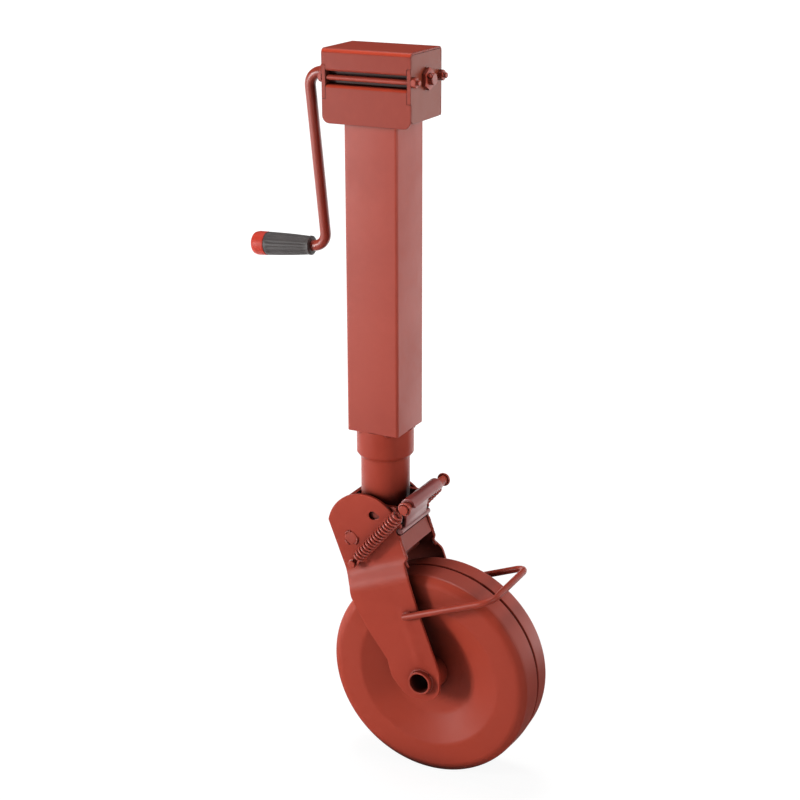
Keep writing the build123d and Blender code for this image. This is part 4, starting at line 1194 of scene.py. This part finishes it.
def make_stage():
    floor_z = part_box("wheel_half_near")[0].z - 0.0005
    mesh = bpy.data.meshes.new("studio_floor")
    half = FLOOR_HALF
    corners = [(-half, -half), (half, -half), (half, half), (-half, half)]
    mesh.from_pydata([(x, y, floor_z) for x, y in corners], [], [(0, 1, 2, 3)])
    floor = bpy.data.objects.new("studio_floor", mesh)
    bpy.context.scene.collection.objects.link(floor)
    shade = new_material("white_floor")
    grey = {"Base Color": (0.80, 0.80, 0.80, 1), "Roughness": 0.7}
    lit = shade.node("ShaderNodeBsdfPrincipled", None, grey)
    seen = shade.node("ShaderNodeEmission", None, {"Color": (1, 1, 1, 1), "Strength": 1.15})
    # Painted reflections: for mirror rays only, the floor glows in pale patches behind, to the left and far
    # off.
    x, y, _height = shade.axes(shade.place())
    behind = (y - x * 0.9).between(0.0, 0.45)
    left = (1.0 - x.between(-0.8, 0.1)) * (1.0 - y.between(-1.2, -0.5))
    apart = shade.node("ShaderNodeVectorMath", {"operation": "LENGTH"}, {0: shade.place()}, out=1)
    card = shade.maths("MAXIMUM", left * apart.between(0.6, 1.6), apart.between(2.2, 3.4))
    white = shade.maths("MAXIMUM", behind * apart.between(0.6, 0.95), card)
    tint = shade.mix(white, (0.05, 0.05, 0.05, 1), (1, 1, 1, 1))
    mirrored = shade.node("ShaderNodeEmission", None, {"Color": tint, "Strength": FLOOR_MIRRORED})
    camera_ray = shade.node("ShaderNodeLightPath", out="Is Camera Ray")
    glossy_ray = shade.node("ShaderNodeLightPath", out="Is Glossy Ray")
    plain = camera_ray * (0.80 + apart.between(0.7, 1.6) * 0.2)
    for_camera = shade.node("ShaderNodeMixShader", None, {0: plain, 1: lit, 2: seen})
    for_mirror = shade.node("ShaderNodeMixShader", None, {0: glossy_ray, 1: for_camera, 2: mirrored})
    shade.output(for_mirror)
    mesh.materials.append(shade.owner)


WORLD_LIGHT = 0.13
WORLD_MIRRORED = 0.05
SKY_MIRRORED = 1.3


def make_world():
    """Dim light for the object, white for the camera, and a paler sky behind to the right in mirrorings."""
    world = bpy.data.worlds.new("studio")
    bpy.context.scene.world = world
    sky = Shade(world)
    x, y, _height = sky.axes(sky.node("ShaderNodeTexCoord", out="Generated"))
    pale = x.between(-0.1, 0.25) * y.between(0.3, 0.7)
    strength = pale * (SKY_MIRRORED - WORLD_MIRRORED) + WORLD_MIRRORED
    mirrored = sky.node("ShaderNodeBackground", None, {"Strength": strength})
    dim = sky.node("ShaderNodeBackground", None, {"Color": (1, 1, 1, 1), "Strength": WORLD_LIGHT})
    white = sky.node("ShaderNodeBackground", None, {"Color": (1, 1, 1, 1), "Strength": 1.0})
    glossy_ray = sky.node("ShaderNodeLightPath", out="Is Glossy Ray")
    camera_ray = sky.node("ShaderNodeLightPath", out="Is Camera Ray")
    unseen = sky.node("ShaderNodeMixShader", None, {0: glossy_ray, 1: dim, 2: mirrored})
    seen = sky.node("ShaderNodeMixShader", None, {0: camera_ray, 1: unseen, 2: white})
    sky.output(seen, "ShaderNodeOutputWorld")


def make_lamp(name, place, target, size, power, spread=180):
    data = bpy.data.lights.new(name, "AREA")
    data.shape = "RECTANGLE"
    data.size, data.size_y = size
    data.energy = power
    data.spread = math.radians(spread)
    lamp = bpy.data.objects.new(name, data)
    aim = (Vector(target) - Vector(place)).to_track_quat("-Z", "Y").to_matrix().to_4x4()
    lamp.matrix_world = Matrix.Translation(place) @ aim
    bpy.context.scene.collection.objects.link(lamp)


def make_lights():
    middle = (0.03, 0.0, 0.05)
    make_lamp("key_softbox", (-2.12, -2.14, 0.25), middle, (0.6, 1.2), 72)
    make_lamp("top_softbox", (-0.4, 0.4, 3.0), middle, (1.2, 1.2), 62)
    make_lamp("right_softbox", (2.6, -0.6, 0.75), (0.0, 0.0, 0.45), (0.9, 0.9), 3.2, 50)


def main():
    make_camera()
    dress_cad_nodes()
    make_outer_tube()
    make_guide_bush()
    make_stem()
    make_head_cover()
    make_side_plates()
    make_tie_bolts()
    make_crank()
    make_grip()
    make_forks()
    make_axle()
    make_foot_bar()
    make_latch()
    for side, face in SIDES:
        make_spring("%s_spring" % side, "return_spring_%s" % side, face)
    make_studs()
    make_wheel()
    make_stage()
    make_world()
    make_lights()
    bpy.context.scene.view_settings.view_transform = "Standard"


main()
